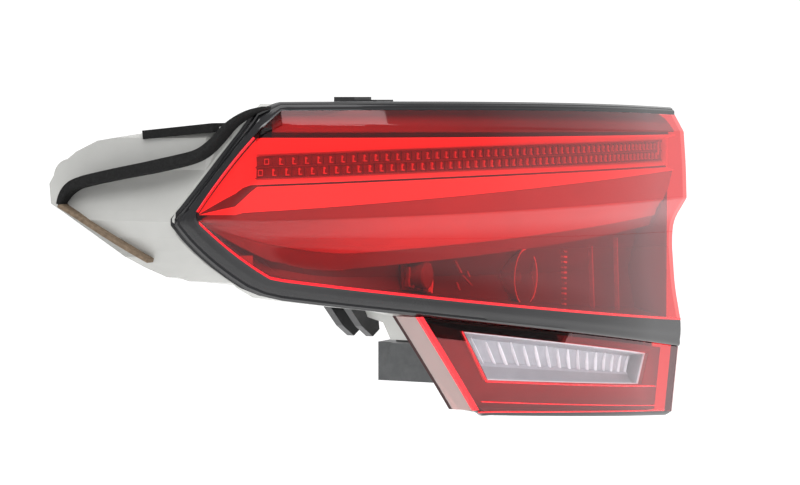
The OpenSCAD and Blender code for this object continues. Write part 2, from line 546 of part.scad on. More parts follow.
module vent_caps() {
    row() color([0.1, 0.1, 0.1]) difference() {
        for (q = [[-200, 44, 112], [-40, -120, 99]]) {
            along_y(12, 90, q[2], q[0], q[1]);
            along_y(15, q[2], q[2] + 5, q[0], q[1]);
        }
        tub(-0.05);
    }
}

housing();
outer_lens();
lens_frame();
reverse_window();
upper_bezel();
light_trough();
pixel_strip();
strip_board();
strip_leds();
lower_bezel();
stop_light_guide();
signal_reflector();
signal_bulb();
signal_socket();
signal_socket_seal();
reverse_bezel();
reverse_reflector();
reverse_bulb();
reverse_socket();
reverse_socket_seal();
body_gasket();
foam_pad();
top_clip();
lower_clip();
locating_pins();
bolt_bushings();
main_connector();
connector_terminals();
heat_sink();
driver_cover();
cover_screws();
vent_caps();
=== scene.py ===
import bpy
import math
import random
import numpy as np
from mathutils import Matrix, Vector


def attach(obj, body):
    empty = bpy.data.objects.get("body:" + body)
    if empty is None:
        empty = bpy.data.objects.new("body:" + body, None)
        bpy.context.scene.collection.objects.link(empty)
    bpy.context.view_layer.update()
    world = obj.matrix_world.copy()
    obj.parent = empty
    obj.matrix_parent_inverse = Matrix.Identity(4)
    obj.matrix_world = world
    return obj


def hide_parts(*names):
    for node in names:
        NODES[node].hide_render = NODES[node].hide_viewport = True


random.seed(7)
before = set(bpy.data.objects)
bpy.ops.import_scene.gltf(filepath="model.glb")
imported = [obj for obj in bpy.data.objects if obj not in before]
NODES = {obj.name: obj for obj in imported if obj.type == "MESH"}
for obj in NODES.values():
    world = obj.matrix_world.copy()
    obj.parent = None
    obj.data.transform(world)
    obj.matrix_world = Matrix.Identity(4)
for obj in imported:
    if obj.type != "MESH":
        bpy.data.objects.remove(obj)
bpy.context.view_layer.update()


# ---------------------------------------------------------------- formulas
# Lengths in millimetres from the lens's inboard end, as in the part's source.
BOLT = np.array([10.0, 39.0, 35.0])
rad = math.radians
FLAT, R1, A1, R2, A2, R3, A3, TIP = 60.0, 720.0, 15.0, 420.0, 33.0, 160.0, 60.0, 508.0
S1 = FLAT
S2 = S1 + R1 * rad(A1)
S3 = S2 + R2 * rad(A2 - A1)
S4 = S3 + R3 * rad(A3 - A2)
LT = 2.8
SCOOP = 11.5
END_WALL = 26.0


def arc(r, a, b):
    return np.array([-r * (math.sin(rad(b)) - math.sin(rad(a))), r * (math.cos(rad(a)) - math.cos(rad(b)))])


P1 = np.array([-S1, 0.0])
P2 = P1 + arc(R1, 0, A1)
P3 = P2 + arc(R2, A1, A2)
P4 = P3 + arc(R3, A2, A3)


def turn(s):
    if s <= S1:
        return 0.0
    if s <= S2:
        return math.degrees((s - S1) / R1)
    if s <= S3:
        return A1 + math.degrees((s - S2) / R2)
    if s <= S4:
        return A2 + math.degrees((s - S3) / R3)
    return A3


def plan(s):
    if s <= S1:
        return np.array([-s, 0.0])
    if s <= S2:
        return P1 + arc(R1, 0, turn(s))
    if s <= S3:
        return P2 + arc(R2, A1, turn(s))
    if s <= S4:
        return P3 + arc(R3, A2, turn(s))
    return P4 + (s - S4) * np.array([-math.cos(rad(A3)), math.sin(rad(A3))])


def at(s, z, g):
    p, b = plan(s), rad(turn(s))
    return np.array([p[0] + g * math.sin(b), p[1] + g * math.cos(b), z])


def mix(a, b, t):
    return a + (b - a) * t


def z_top(s):
    return 70.5 - 4.5 * ((s - 350) / 350) ** 2


def z_sh(s):
    return 48.5 + 0.02 * s


def z_ridge(s):
    return -0.8 - 4.2 * (s / TIP) ** 2


def z_inner(s):
    return -91.5 + 0.09 * s + 0.000055 * s * s


def z_low(s):
    return -111.2 + 0.1306 * s


def z_bottom(s):
    return -164.4 + 0.098 * s


def arm_up(t):
    return (451.4 + 43 * t, 55.7 - 54.5 * t + 11 * t * (1 - t))


def arm_low(t):
    return (448 + 46 * t, -39.6 + 36.4 * t - 10 * t * (1 - t))


def z_arm(s):
    return 200.0 if s < 451.4 else arm_up((s - 451.4) / 43)[1]


def z_armlow(s):
    return -200.0 if s < 448 else arm_low((s - 448) / 46)[1]


def z_lip(s):
    return min(46.5 + 0.004 * s, z_arm(s) - 3)


def z_st(s):
    return min(42.3 - 5 * (s / 455) ** 3, z_arm(s) - 5)


def z_sb(s):
    return min(26.6 - 5 * (s / 461) ** 3, z_arm(s) - 7)


def z_tl(s):
    return min(20 - 0.024 * s - 0.000035 * s * s, z_arm(s) - 9)


def z_c1(s):
    return -13 - 0.034 * s


def z_c2(s):
    return max(-21 - 0.04 * s, z_inner(s) + 6)


def face_g(s):
    return 1 - 0.75 * min(s, 495) / 495


def face_col(s):
    r, l, f = z_ridge(s), z_inner(s), SCOOP * face_g(s)
    return [(s, z_top(s) - 5, 9.8), (s, z_sh(s), 2.6), (s, mix(z_sh(s), r, 0.5), 0.8), (s, r, 0.0),
            (s, mix(r, l, 0.19), 0.91 * f), (s, mix(r, l, 0.37), f), (s, mix(r, l, 0.73), 0.78 * f),
            (s, l, 4.4 - 1.9 * s / 495)]


def arm_col(t):
    a, b = np.array(arm_up(t)), np.array(arm_low(t))
    s = mix(451, 493.5, t)
    q = np.array([s, z_ridge(s) + 1.5 * t])
    f = SCOOP * face_g(s)
    rows = [(a, 2.8), (mix(a, q, 0.07), 1.8), (mix(a, q, 0.5), 0.7), (q, 0.0),
            (mix(q, b, 0.19), 0.6 * f * (1 - t) + 1.2 * t), (mix(q, b, 0.37), 0.8 * f * (1 - t) + 1.8 * t),
            (mix(q, b, 0.73), 0.7 * f * (1 - t) + 2.2 * t), (b, 2.5)]
    return [(float(p[0]), float(p[1]), g) for p, g in rows]


def rev_left(v):
    return 341 - 55 * v


def rev_z(s, v):
    return mix(z_low(s) - 1.2, z_bottom(s) + 3.4, v)


def rev_g(s, z):
    return 6 + 0.1 * (z_low(s) - z)


def lin(a, b, n):
    return [a + (b - a) * i / (n - 1) for i in range(n)]


# ---------------------------------------------------------------- meshes
def build(name, verts, faces, mats, idx=None, sharp=32, node=None, smooth=True, loose=False):
    """One mesh piece from points in millimetres in the drawing frame."""
    v = (np.asarray(verts, float) - BOLT) / 1000.0
    me = bpy.data.meshes.new(name)
    me.from_pydata([tuple(p) for p in v], [], [tuple(int(i) for i in f) for f in faces])
    for m in mats:
        me.materials.append(m)
    if idx is not None:
        me.polygons.foreach_set("material_index", np.asarray(idx, np.int32))
    me.validate()
    me.update()
    if smooth:
        me.polygons.foreach_set("use_smooth", [True] * len(me.polygons))
        me.set_sharp_from_angle(angle=rad(sharp))
    ob = bpy.data.objects.new(name, me)
    bpy.context.scene.collection.objects.link(ob)
    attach(ob, "root")
    if node:
        for n in ([node] if isinstance(node, str) else node):
            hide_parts(n)
    return ob


class Bag:
    """Collects grids, shells and sweeps into one mesh."""

    def __init__(self):
        self.v, self.f, self.m = [], [], []

    def add(self, verts, faces, mat=0):
        o = len(self.v)
        verts = [np.asarray(p, float) for p in verts]
        faces = [tuple(f) for f in faces]
        six = 0.0
        for f in faces:
            for k in range(1, len(f) - 1):
                six += float(np.dot(np.cross(verts[f[0]], verts[f[k]]), verts[f[k + 1]]))
        self.v += verts
        flip = six < 0 and self.closed
        for i, f in enumerate(faces):
            self.f.append(tuple(o + k for k in (f[::-1] if flip else f)))
            self.m.append(mat[i] if isinstance(mat, (list, tuple)) else mat)

    closed = True

    def shell(self, front, back, mf=0, mb=1, mr=2, rowmat=None):
        """Closed sheet between two grids of columns."""
        nc, nr = len(front), len(front[0])
        n = nc * nr
        v = [q for c in front for q in c] + [q for c in back for q in c]
        f, m = [], []
        for c in range(nc - 1):
            for r in range(nr - 1):
                a, b = c * nr + r, (c + 1) * nr + r
                k = rowmat[r] if rowmat else mf
                f.append((a, a + 1, b + 1, b)); m.append(k)
                f.append((n + a, n + b, n + b + 1, n + a + 1)); m.append(mb if rowmat is None else k)
        for c in range(nc - 1):
            a, b = c * nr, (c + 1) * nr
            f.append((a, b, n + b, n + a)); m.append(mr if rowmat is None else rowmat[0])
            a, b = c * nr + nr - 1, (c + 1) * nr + nr - 1
            f.append((b, a, n + a, n + b)); m.append(mr if rowmat is None else rowmat[-1])
        for r in range(nr - 1):
            f.append((r + 1, r, n + r, n + r + 1)); m.append(mr if rowmat is None else rowmat[r])
            a = (nc - 1) * nr + r
            f.append((a, a + 1, n + a + 1, n + a)); m.append(mr if rowmat is None else rowmat[r])
        self.add(v, f, m)

    def sweep(self, rings, mat=0, loop=False, caps=True, matj=None):
        k, n = len(rings), len(rings[0])
        v = [q for r in rings for q in r]
        f, m = [], []
        for i in range(k if loop else k - 1):
            for j in range(n):
                a, b = i * n + j, i * n + (j + 1) % n
                c, d = ((i + 1) % k) * n + j, ((i + 1) % k) * n + (j + 1) % n
                f.append((a, b, d, c)); m.append(matj[j] if matj else mat)
        if caps and not loop:
            f.append(tuple(range(n))[::-1]); m.append(mat)
            f.append(tuple((k - 1) * n + j for j in range(n))); m.append(mat)
        self.add(v, f, m)

    def prism(self, outline, h0, h1, axis="z", mat=0, bevel=0.0):
        """Prism from an outline in the two other axes, edges eased by bevel."""
        o = np.asarray(outline, float)
        area = 0.5 * sum(o[i][0] * o[(i + 1) % len(o)][1] - o[(i + 1) % len(o)][0] * o[i][1] for i in range(len(o)))
        if area < 0:
            o = o[::-1]
        steps = [(h0, bevel), (h0 + bevel, 0.0), (h1 - bevel, 0.0), (h1, bevel)] if bevel > 0 else [(h0, 0.0), (h1, 0.0)]
        rings = []
        for h, d in steps:
            q = inset(o, d) if d > 0 else o
            rings.append([place(p, h, axis) for p in q])
        self.sweep(rings, mat)

    def box(self, x0, y0, z0, x1, y1, z1, mat=0, bevel=0.3):
        bv = min(bevel, 0.3 * min(x1 - x0, y1 - y0, z1 - z0))
        self.prism([(x0, z0), (x1, z0), (x1, z1), (x0, z1)], y0, y1, "y", mat, bv)

    def lathe(self, prof, centre, axis="y", n=40, mat=0, flute=0, depth=0.0):
        """Turned shape: prof holds (distance along the axis, radius)."""
        rings = []
        for k in range(n):
            a = 2 * math.pi * k / n
            rings.append(a)
        v, f = [], []
        for h, r in prof:
            for a in rings:
                rr_ = r * (1 + depth * (0.5 + 0.5 * math.cos(flute * a))) if flute else r
                u, w = rr_ * math.cos(a), rr_ * math.sin(a)
                if axis == "y":
                    v.append((centre[0] + u, centre[1] + h, centre[2] + w))
                elif axis == "z":
                    v.append((centre[0] + u, centre[1] + w, centre[2] + h))
                else:
                    v.append((centre[0] + h, centre[1] + u, centre[2] + w))
        k = len(prof)
        for i in range(k - 1):
            for j in range(n):
                a, b = i * n + j, i * n + (j + 1) % n
                f.append((a, b, b + n, a + n))
        if prof[0] != prof[-1]:
            f.append(tuple(range(n))[::-1])
            f.append(tuple((k - 1) * n + j for j in range(n)))
        self.add(v, f, mat)


def place(p, h, axis):
    if axis == "z":
        return (p[0], p[1], h)
    if axis == "y":
        return (p[0], h, p[1])
    return (h, p[0], p[1])


def inset(o, d):
    """Draws a counter-clockwise outline in by d."""
    o = np.asarray(o, float)
    n = len(o)
    out = []
    for i in range(n):
        u = o[i] - o[i - 1]
        w = o[(i + 1) % n] - o[i]
        u, w = u / (np.linalg.norm(u) + 1e-9), w / (np.linalg.norm(w) + 1e-9)
        m, k = np.array([-u[1], u[0]]), np.array([-w[1], w[0]])
        out.append(o[i] + d * (m + k) / max(0.25, 1 + float(np.dot(m, k))))
    return np.array(out)


def path(points, n):
    """n points evenly spaced along a polyline of (s, z)."""
    p = np.array(points, float)
    d = np.concatenate([[0], np.cumsum(np.linalg.norm(np.diff(p, axis=0), axis=1))])
    t = np.linspace(0, d[-1], n)
    return [(float(np.interp(x, d, p[:, 0])), float(np.interp(x, d, p[:, 1]))) for x in t]


def soft(rows, radii):
    """Rounds the corners of a row of (s, z, g) points."""
    out = [rows[0]]
    for i in range(1, len(rows) - 1):
        a, p, b = (np.array(rows[k], float) for k in (i - 1, i, i + 1))
        la, lb = np.linalg.norm(a - p), np.linalg.norm(b - p)
        r = min(radii[i], 0.42 * la, 0.42 * lb)
        q0, q1 = p + (a - p) * r / max(la, 1e-6), p + (b - p) * r / max(lb, 1e-6)
        out.append(tuple(mix(q0, a, min(0.3, 0.35 * r / la))))
        for t in (0.0, 0.25, 0.5, 0.75, 1.0):
            out.append(tuple((1 - t) ** 2 * q0 + 2 * t * (1 - t) * p + t * t * q1))
        out.append(tuple(mix(q1, b, min(0.3, 0.35 * r / lb))))
    out.append(rows[-1])
    return out


# ---------------------------------------------------------------- materials
def new_mat(name):
    m = bpy.data.materials.new(name)
    m.use_nodes = True
    m.node_tree.nodes.clear()
    return m, m.node_tree.nodes, m.node_tree.links


def noise(nt, ln, scale, detail=3.0, rough=0.55, stretch=None, seed=0.0):
    tc = nt.new("ShaderNodeTexCoord")
    mp = nt.new("ShaderNodeMapping")
    mp.inputs["Location"].default_value = (seed, seed * 0.7, seed * 1.3)
    mp.inputs["Scale"].default_value = stretch or (1, 1, 1)
    ln.new(tc.outputs["Object"], mp.inputs["Vector"])
    n = nt.new("ShaderNodeTexNoise")
    n.inputs["Scale"].default_value = scale
    n.inputs["Detail"].default_value = detail
    n.inputs["Roughness"].default_value = rough
    ln.new(mp.outputs["Vector"], n.inputs["Vector"])
    return n.outputs["Fac"]


def ramp2(nt, ln, fac, c0, c1, p0=0.3, p1=0.7):
    r = nt.new("ShaderNodeValToRGB")
    r.color_ramp.elements[0].position = p0
    r.color_ramp.elements[1].position = p1
    r.color_ramp.elements[0].color = (*c0, 1)
    r.color_ramp.elements[1].color = (*c1, 1)
    ln.new(fac, r.inputs["Fac"])
    return r.outputs["Color"]


def to_range(nt, ln, fac, lo, hi):
    r = nt.new("ShaderNodeMapRange")
    r.inputs["To Min"].default_value = lo
    r.inputs["To Max"].default_value = hi
    ln.new(fac, r.inputs["Value"])
    return r.outputs["Result"]


def solid(name, base, rough=0.45, var=0.06, metal=0.0, spec=0.5, scale=60.0, fine=900.0, bump=0.04, coat=0.0, stretch=None, seed=0.0, ior=1.5, sub=0.0):
    """Moulded, cast or plated surface with cloudy tone, uneven gloss and a fine grain."""
    m, nt, ln = new_mat(name)
    out = nt.new("ShaderNodeOutputMaterial")
    b = nt.new("ShaderNodeBsdfPrincipled")
    ln.new(b.outputs["BSDF"], out.inputs["Surface"])
    base = np.array(base, float)
    big = noise(nt, ln, scale, 4, 0.6, stretch, seed)
    col = ramp2(nt, ln, big, tuple(np.clip(base * (1 - var), 0, 1)), tuple(np.clip(base * (1 + var), 0, 1)))
    ln.new(col, b.inputs["Base Color"])
    ln.new(to_range(nt, ln, noise(nt, ln, scale * 2.3, 3, 0.6, stretch, seed + 3), max(0.02, rough - 0.07), min(1, rough + 0.07)), b.inputs["Roughness"])
    b.inputs["Metallic"].default_value = metal
    b.inputs["Specular IOR Level"].default_value = spec
    b.inputs["IOR"].default_value = ior
    if coat:
        b.inputs["Coat Weight"].default_value = coat
        b.inputs["Coat Roughness"].default_value = 0.08
    if bump:
        bp = nt.new("ShaderNodeBump")
        bp.inputs["Strength"].default_value = bump * 4
        bp.inputs["Distance"].default_value = 0.0002
        ln.new(noise(nt, ln, fine, 2, 0.5, None, seed + 9), bp.inputs["Height"])
        ln.new(bp.outputs["Normal"], b.inputs["Normal"])
    return m


def two_tone(name, c_left, c_right, x_left, x_right, rough=0.4, spec=0.4, var=0.05, metal=0.0, seed=0.0, scale=40.0, coat=0.0):
    """Moulding whose tone changes along the lamp, from c_left at x_left to c_right at x_right."""
    m, nt, ln = new_mat(name)
    out = nt.new("ShaderNodeOutputMaterial")
    b = nt.new("ShaderNodeBsdfPrincipled")
    ln.new(b.outputs["BSDF"], out.inputs["Surface"])
    tc = nt.new("ShaderNodeTexCoord")
    sx = nt.new("ShaderNodeSeparateXYZ")
    ln.new(tc.outputs["Object"], sx.inputs["Vector"])
    mr = nt.new("ShaderNodeMapRange")
    mr.inputs["From Min"].default_value = (x_left - BOLT[0]) / 1000
    mr.inputs["From Max"].default_value = (x_right - BOLT[0]) / 1000
    ln.new(sx.outputs["X"], mr.inputs["Value"])
    col = ramp2(nt, ln, mr.outputs["Result"], c_left, c_right, 0.0, 1.0)
    n = noise(nt, ln, scale, 4, 0.6, (1, 1, 2.5), seed)
    mx = nt.new("ShaderNodeMixRGB")
    mx.blend_type = "MULTIPLY"
    mx.inputs["Fac"].default_value = 1.0
    ln.new(col, mx.inputs["Color1"])
    ln.new(ramp2(nt, ln, n, (1 - var,) * 3, (1.0,) * 3), mx.inputs["Color2"])
    ln.new(mx.outputs["Color"], b.inputs["Base Color"])
    ln.new(to_range(nt, ln, noise(nt, ln, scale * 2, 3, 0.6, None, seed + 5), max(0.03, rough - 0.06), rough + 0.06), b.inputs["Roughness"])
    b.inputs["Specular IOR Level"].default_value = spec
    b.inputs["Metallic"].default_value = metal
    if coat:
        b.inputs["Coat Weight"].default_value = coat
        b.inputs["Coat Roughness"].default_value = 0.1
    return m


def clear(name, tint, tint2=None, rough=0.02, ior=1.5, gain=1.0, gloss=True, scale=25.0, milky=0.0, milk=(0.9, 0.9, 0.9), sheen=(1, 1, 1)):
    """Thin clear or tinted shot: light passes with a tint, and the outer side mirrors by angle."""
    m, nt, ln = new_mat(name)
    out = nt.new("ShaderNodeOutputMaterial")
    tr = nt.new("ShaderNodeBsdfTransparent")
    t2 = tint2 or tuple(c * 0.985 for c in tint)
    ln.new(ramp2(nt, ln, noise(nt, ln, scale, 3, 0.5), t2, tint), tr.inputs["Color"])
    last = tr.outputs["BSDF"]
    if milky:
        df = nt.new("ShaderNodeBsdfDiffuse")
        df.inputs["Color"].default_value = (*milk, 1)
        mx = nt.new("ShaderNodeMixShader")
        mx.inputs["Fac"].default_value = milky
        ln.new(last, mx.inputs[1])
        ln.new(df.outputs["BSDF"], mx.inputs[2])
        last = mx.outputs["Shader"]
    if gloss:
        gl = nt.new("ShaderNodeBsdfGlossy")
        gl.inputs["Color"].default_value = (*sheen, 1)
        ln.new(to_range(nt, ln, noise(nt, ln, 70, 3, 0.6, None, 4), rough * 0.6, rough * 1.4), gl.inputs["Roughness"])
        fr = nt.new("ShaderNodeFresnel")
        fr.inputs["IOR"].default_value = ior
        ge = nt.new("ShaderNodeNewGeometry")
        inv = nt.new("ShaderNodeMath")
        inv.operation = "MULTIPLY_ADD"
        inv.inputs[1].default_value = -gain
        inv.inputs[2].default_value = gain
        ln.new(ge.outputs["Backfacing"], inv.inputs[0])
        cl = nt.new("ShaderNodeMath")
        cl.operation = "MAXIMUM"
        cl.inputs[1].default_value = 0.0
        ln.new(inv.outputs[0], cl.inputs[0])
        mu = nt.new("ShaderNodeMath")
        mu.operation = "MULTIPLY"
        ln.new(fr.outputs["Fac"], mu.inputs[0])
        ln.new(cl.outputs[0], mu.inputs[1])
        mx = nt.new("ShaderNodeMixShader")
        ln.new(mu.outputs[0], mx.inputs["Fac"])
        ln.new(last, mx.inputs[1])
        ln.new(gl.outputs["BSDF"], mx.inputs[2])
        last = mx.outputs["Shader"]
    ln.new(last, out.inputs["Surface"])
    return m


LENS = clear("red_lens_outer", (0.985, 0.31, 0.30), rough=0.03, gain=1.25, sheen=(1.0, 0.73, 0.75))
LENS_IN = clear("red_lens_inner", (0.985, 0.36, 0.35), gloss=False)
LENS_END = clear("red_end_wall", (0.89, 0.22, 0.23), rough=0.05, gain=0.32, sheen=(1.0, 0.5, 0.5))
# red edge of the lens shot, bright as a painted highlight
LENS_EDGE_HIGHLIGHT = solid("red_lens_edge_painted_highlight", (0.93, 0.012, 0.022), rough=0.18, var=0.05, spec=0.5, scale=90, bump=0.0)
LENS_WALL = clear("red_return_wall", (0.80, 0.42, 0.41), rough=0.08, milky=0.55, milk=(0.46, 0.36, 0.34))
# painted shade: darker copy of the lens tint with little gloss
LENS_SHADE = clear("red_lens_shaded", (0.62, 0.24, 0.25), rough=0.25, gain=0.12)
WALL_LINE = solid("return_wall_dark_edge", (0.030, 0.008, 0.008), rough=0.4, var=0.1, scale=60, bump=0.0, spec=0.2)
WINDOW = clear("clear_window_outer", (0.97, 0.97, 0.985), rough=0.03)
WINDOW_IN = clear("clear_window_inner", (0.98, 0.98, 0.99), gloss=False)
BLACK = solid("black_frame_gloss", (0.012, 0.012, 0.013), rough=0.12, var=0.12, spec=0.40, scale=45, bump=0.02)
BRIGHT = two_tone("trough_bright", (0.97, 0.93, 0.93), (0.90, 0.86, 0.86), -430, 0, rough=0.32, spec=0.5, var=0.03)
# painted shade: dark colour for the groove in the trough and the gap under the upper bezel
GROOVE_SHADE = solid("trough_groove_painted_shade", (0.10, 0.07, 0.07), rough=0.5, var=0.1, bump=0.0)
STRIP = two_tone("pixel_strip_back", (0.20, 0.12, 0.12), (0.24, 0.16, 0.16), -430, 0, rough=0.3, spec=0.5, var=0.15, scale=160)
MARK = solid("pixel_strip_marks", (0.62, 0.50, 0.50), rough=0.25, var=0.12, scale=300, bump=0.0)
UPPER = two_tone("upper_bezel_tone", (0.22, 0.19, 0.19), (0.10, 0.09, 0.09), -420, -200, rough=0.4, spec=0.4)
BEZ_A = two_tone("lower_bezel_upper", (0.22, 0.20, 0.20), (0.36, 0.32, 0.32), -440, -300, rough=0.38, spec=0.4)
BEZ_B = two_tone("lower_bezel_middle", (0.20, 0.18, 0.18), (0.52, 0.46, 0.46), -430, -330, rough=0.36, spec=0.4)
BEZ_C = two_tone("lower_bezel_lower", (0.24, 0.22, 0.22), (0.22, 0.19, 0.19), -430, -100, rough=0.4, spec=0.35)
CHAMBER = two_tone("chamber_tone", (0.15, 0.13, 0.13), (0.11, 0.10, 0.10), -380, -20, rough=0.45, spec=0.35)
CHROME = solid("reflector_metal", (0.86, 0.86, 0.87), rough=0.14, var=0.04, metal=1.0, scale=80, bump=0.0)
CHROME_SOFT = solid("reflector_metal_soft", (0.80, 0.80, 0.82), rough=0.30, var=0.06, metal=1.0, scale=120, bump=0.0)
REV_GREY = solid("reversing_bezel_grey", (0.30, 0.29, 0.31), rough=0.35, var=0.08, scale=90, bump=0.02)
# painted shade: near-black colour for the shaded recess above the reversing window
REV_SHADE = solid("reversing_bezel_painted_shade", (0.012, 0.008, 0.009), rough=0.3, var=0.2, scale=90, bump=0.0)
REV_LINE = solid("reversing_window_edge", (0.62, 0.62, 0.64), rough=0.3, var=0.06, scale=90, bump=0.0)
REV_WHITE = solid("reversing_flutes", (0.93, 0.93, 0.95), rough=0.2, var=0.05, scale=200, bump=0.0)
REV_FIELD = two_tone("reversing_field", (0.42, 0.42, 0.45), (0.50, 0.50, 0.53), -300, -60, rough=0.3, spec=0.5, var=0.12, scale=120)
REV_DARK = solid("reversing_bezel_dark", (0.15, 0.12, 0.13), rough=0.35, var=0.1, scale=90, bump=0.02)
GREY = solid("housing_grey_moulding", (0.36, 0.36, 0.345), rough=0.34, var=0.05, scale=25, fine=1400, bump=0.03, spec=0.5)
# painted light: lighter copy of the housing grey for the underside, which the floor lights
GREY_FLOOR_LIT = solid("housing_grey_painted_floor_light", (0.44, 0.44, 0.405), rough=0.42, var=0.05, scale=25, fine=1400, bump=0.03, spec=0.4)
FOAM = solid("gasket_foam_black", (0.010, 0.010, 0.010), rough=0.9, var=0.4, scale=700, fine=2500, bump=0.3, spec=0.15)
# painted shadow: brown tone for the shaded lower edge under the pointed end
FOAM_SHADOW = solid("gasket_foam_painted_shadow", (0.13, 0.095, 0.065), rough=0.8, var=0.3, scale=400, fine=2500, bump=0.2, spec=0.2)
CLIP = solid("clip_black_satin", (0.014, 0.014, 0.015), rough=0.4, var=0.2, scale=120, bump=0.05)
CONN = solid("connector_grey", (0.075, 0.078, 0.080), rough=0.42, var=0.15, scale=150, bump=0.06)
SOCK = solid("socket_black", (0.018, 0.018, 0.019), rough=0.45, var=0.2, scale=150, bump=0.06)
SEAL = solid("seal_rubber", (0.010, 0.010, 0.010), rough=0.75, var=0.3, scale=300, bump=0.15, spec=0.3)
IVORY = solid("pin_ivory", (0.66, 0.62, 0.52), rough=0.4, var=0.05, scale=140, bump=0.04)
STEEL = solid("zinc_steel", (0.60, 0.60, 0.58), rough=0.32, var=0.1, metal=1.0, scale=260, bump=0.05, stretch=(1, 6, 1))
ALLOY = solid("heat_sink_alloy", (0.66, 0.67, 0.68), rough=0.38, var=0.07, metal=1.0, scale=200, bump=0.05, stretch=(1, 1, 8))
TIN = solid("terminal_tin", (0.72, 0.66, 0.50), rough=0.28, var=0.08, metal=1.0, scale=400, bump=0.0)
BOARD = solid("board_green", (0.02, 0.11, 0.05), rough=0.35, var=0.25, scale=240, bump=0.05)
LED = solid("led_phosphor", (0.80, 0.66, 0.22), rough=0.4, var=0.1, scale=500, bump=0.0)
AMBER = clear("amber_glass", (0.98, 0.52, 0.10), rough=0.03)
GLASS = clear("bulb_glass", (0.97, 0.98, 0.98), rough=0.02)
RIBTONE = solid("chamber_rib_tone", (0.30, 0.24, 0.24), rough=0.35, var=0.2, scale=200, bump=0.0)
GUIDE_DARK = solid("light_guide_body", (0.13, 0.11, 0.11), rough=0.3, var=0.1, scale=200, bump=0.0)
GUIDE = solid("light_guide_clear", (0.86, 0.83, 0.83), rough=0.12, var=0.05, scale=200, bump=0.0)

# ---------------------------------------------------------------- lens
FACE_R = [0, 0.9, 6, 1.0, 7, 7, 9, 0]
ARM_R = [0, 0.8, 6, 1.0, 5, 5, 6, 0]
cols = [soft(face_col(s), FACE_R) for s in lin(0, 440, 75)] + [soft(arm_col(t), ARM_R) for t in lin(0, 1, 17)]
front = [[at(s, z, g) for s, z, g in c] for c in cols]
back_ = [[at(s, z, g + LT) for s, z, g in c] for c in cols]
lens = Bag()
lens.shell(front, back_, 0, 1, 0)
# inboard end wall, from just behind the face to its full depth
edge = soft(face_col(0), FACE_R) + [(0, z_inner(0) - 0.8, 8.6), (0, z_low(0) - 0.8, 8.6)]
edge += [(0, rev_z(0, v), rev_g(0, rev_z(0, v))) for v in lin(0, 1, 6)]
lens.shell([[(0, g + LT + 0.05, z), (0, mix(g + LT, END_WALL, 0.5), z), (0, END_WALL, z)] for s, z, g in edge],
           [[(-LT, g + LT + 0.05, z), (-LT, mix(g + LT, END_WALL, 0.5), z), (-LT, END_WALL, z)] for s, z, g in edge], 4, 4, 4)
# bright line where the red shot meets the black one, along the face's lower edge and tip: red edge of the shot, its
# brightness a painted highlight
line = [(s, z_inner(s), 4.4 - 1.9 * s / 495) for s in lin(0, 440, 75)] + [(*arm_low(t), 2.5) for t in lin(0, 0.97, 17)]
rings = []
for k, (s, z, g) in enumerate(line):
    w = 0.95 if s < 430 else 0.95
    rings.append([at(s, z + w, g - 0.10), at(s, z - w * 0.8, g - 0.25), at(s, z - w * 0.8, g + 1.2), at(s, z + w, g + 1.2)])
lens.sweep(rings, 2)
# painted highlight: bright red edge along the upper arm
rings = []
for t in lin(0.02, 0.985, 15):
    s, z = arm_up(t)
    rings.append([at(s - 0.9, z - 0.5, 2.55), at(s + 0.45, z + 0.35, 2.45), at(s + 0.45, z + 0.35, 3.9), at(s - 0.9, z - 0.5, 3.9)])
lens.sweep(rings, 2)


# reversing section round the window
def win(e, u, v):
    """Window corner grid: u runs from the outboard to the inboard end, v down."""
    tl, tr, br, bl = (301 + e, -79.6 + e), (60 - e, -112.2 + e), (68 - e, -134 - e), (275 + e, -113.4 - e)
    t = (mix(tl[0], tr[0], u), mix(tl[1], tr[1], u))
    b = (mix(bl[0], br[0], u), mix(bl[1], br[1], u))
    s, z = mix(t[0], b[0], v), mix(t[1], b[1], v)
    return s, z


def rev_out(u, v):
    s = mix(rev_left(v), 0, u)
    return s, rev_z(s, v)


def rev_point(s, z, d=0.0):
    return at(s, z, rev_g(s, z) + d)


NU, NV = 40, 10
ring_out, ring_in = [], []
for i in range(NU):
    ring_out.append(rev_out(i / NU, 0)); ring_in.append(win(0, i / NU, 0))
for i in range(NV):
    ring_out.append(rev_out(1, i / NV)); ring_in.append(win(0, 1, i / NV))
for i in range(NU):
    ring_out.append(rev_out(1 - i / NU, 1)); ring_in.append(win(0, 1 - i / NU, 1))
for i in range(NV):
    ring_out.append(rev_out(0, 1 - i / NV)); ring_in.append(win(0, 0, 1 - i / NV))
K = 7
surround_f, surround_b = [], []
for (a, b) in zip(ring_out + ring_out[:1], ring_in + ring_in[:1]):
    surround_f.append([rev_point(mix(a[0], b[0], k / K), mix(a[1], b[1], k / K)) for k in range(K + 1)])
    surround_b.append([rev_point(mix(a[0], b[0], k / K), mix(a[1], b[1], k / K), LT) for k in range(K + 1)])
n_sur = len(lens.m)
lens.shell(surround_f, surround_b, 0, 1, 0)
# painted shade: the part of the face in front of the dark recess above the window takes the darker, nearly glossless
# lens tint
for c in list(range(0, 18)) + list(range(2 * NU + 2 * NV - 2, 2 * NU + 2 * NV)):
    for r in range(K):
        k = n_sur + 2 * (c * K + r)
        lens.m[k] = lens.m[k + 1] = 5
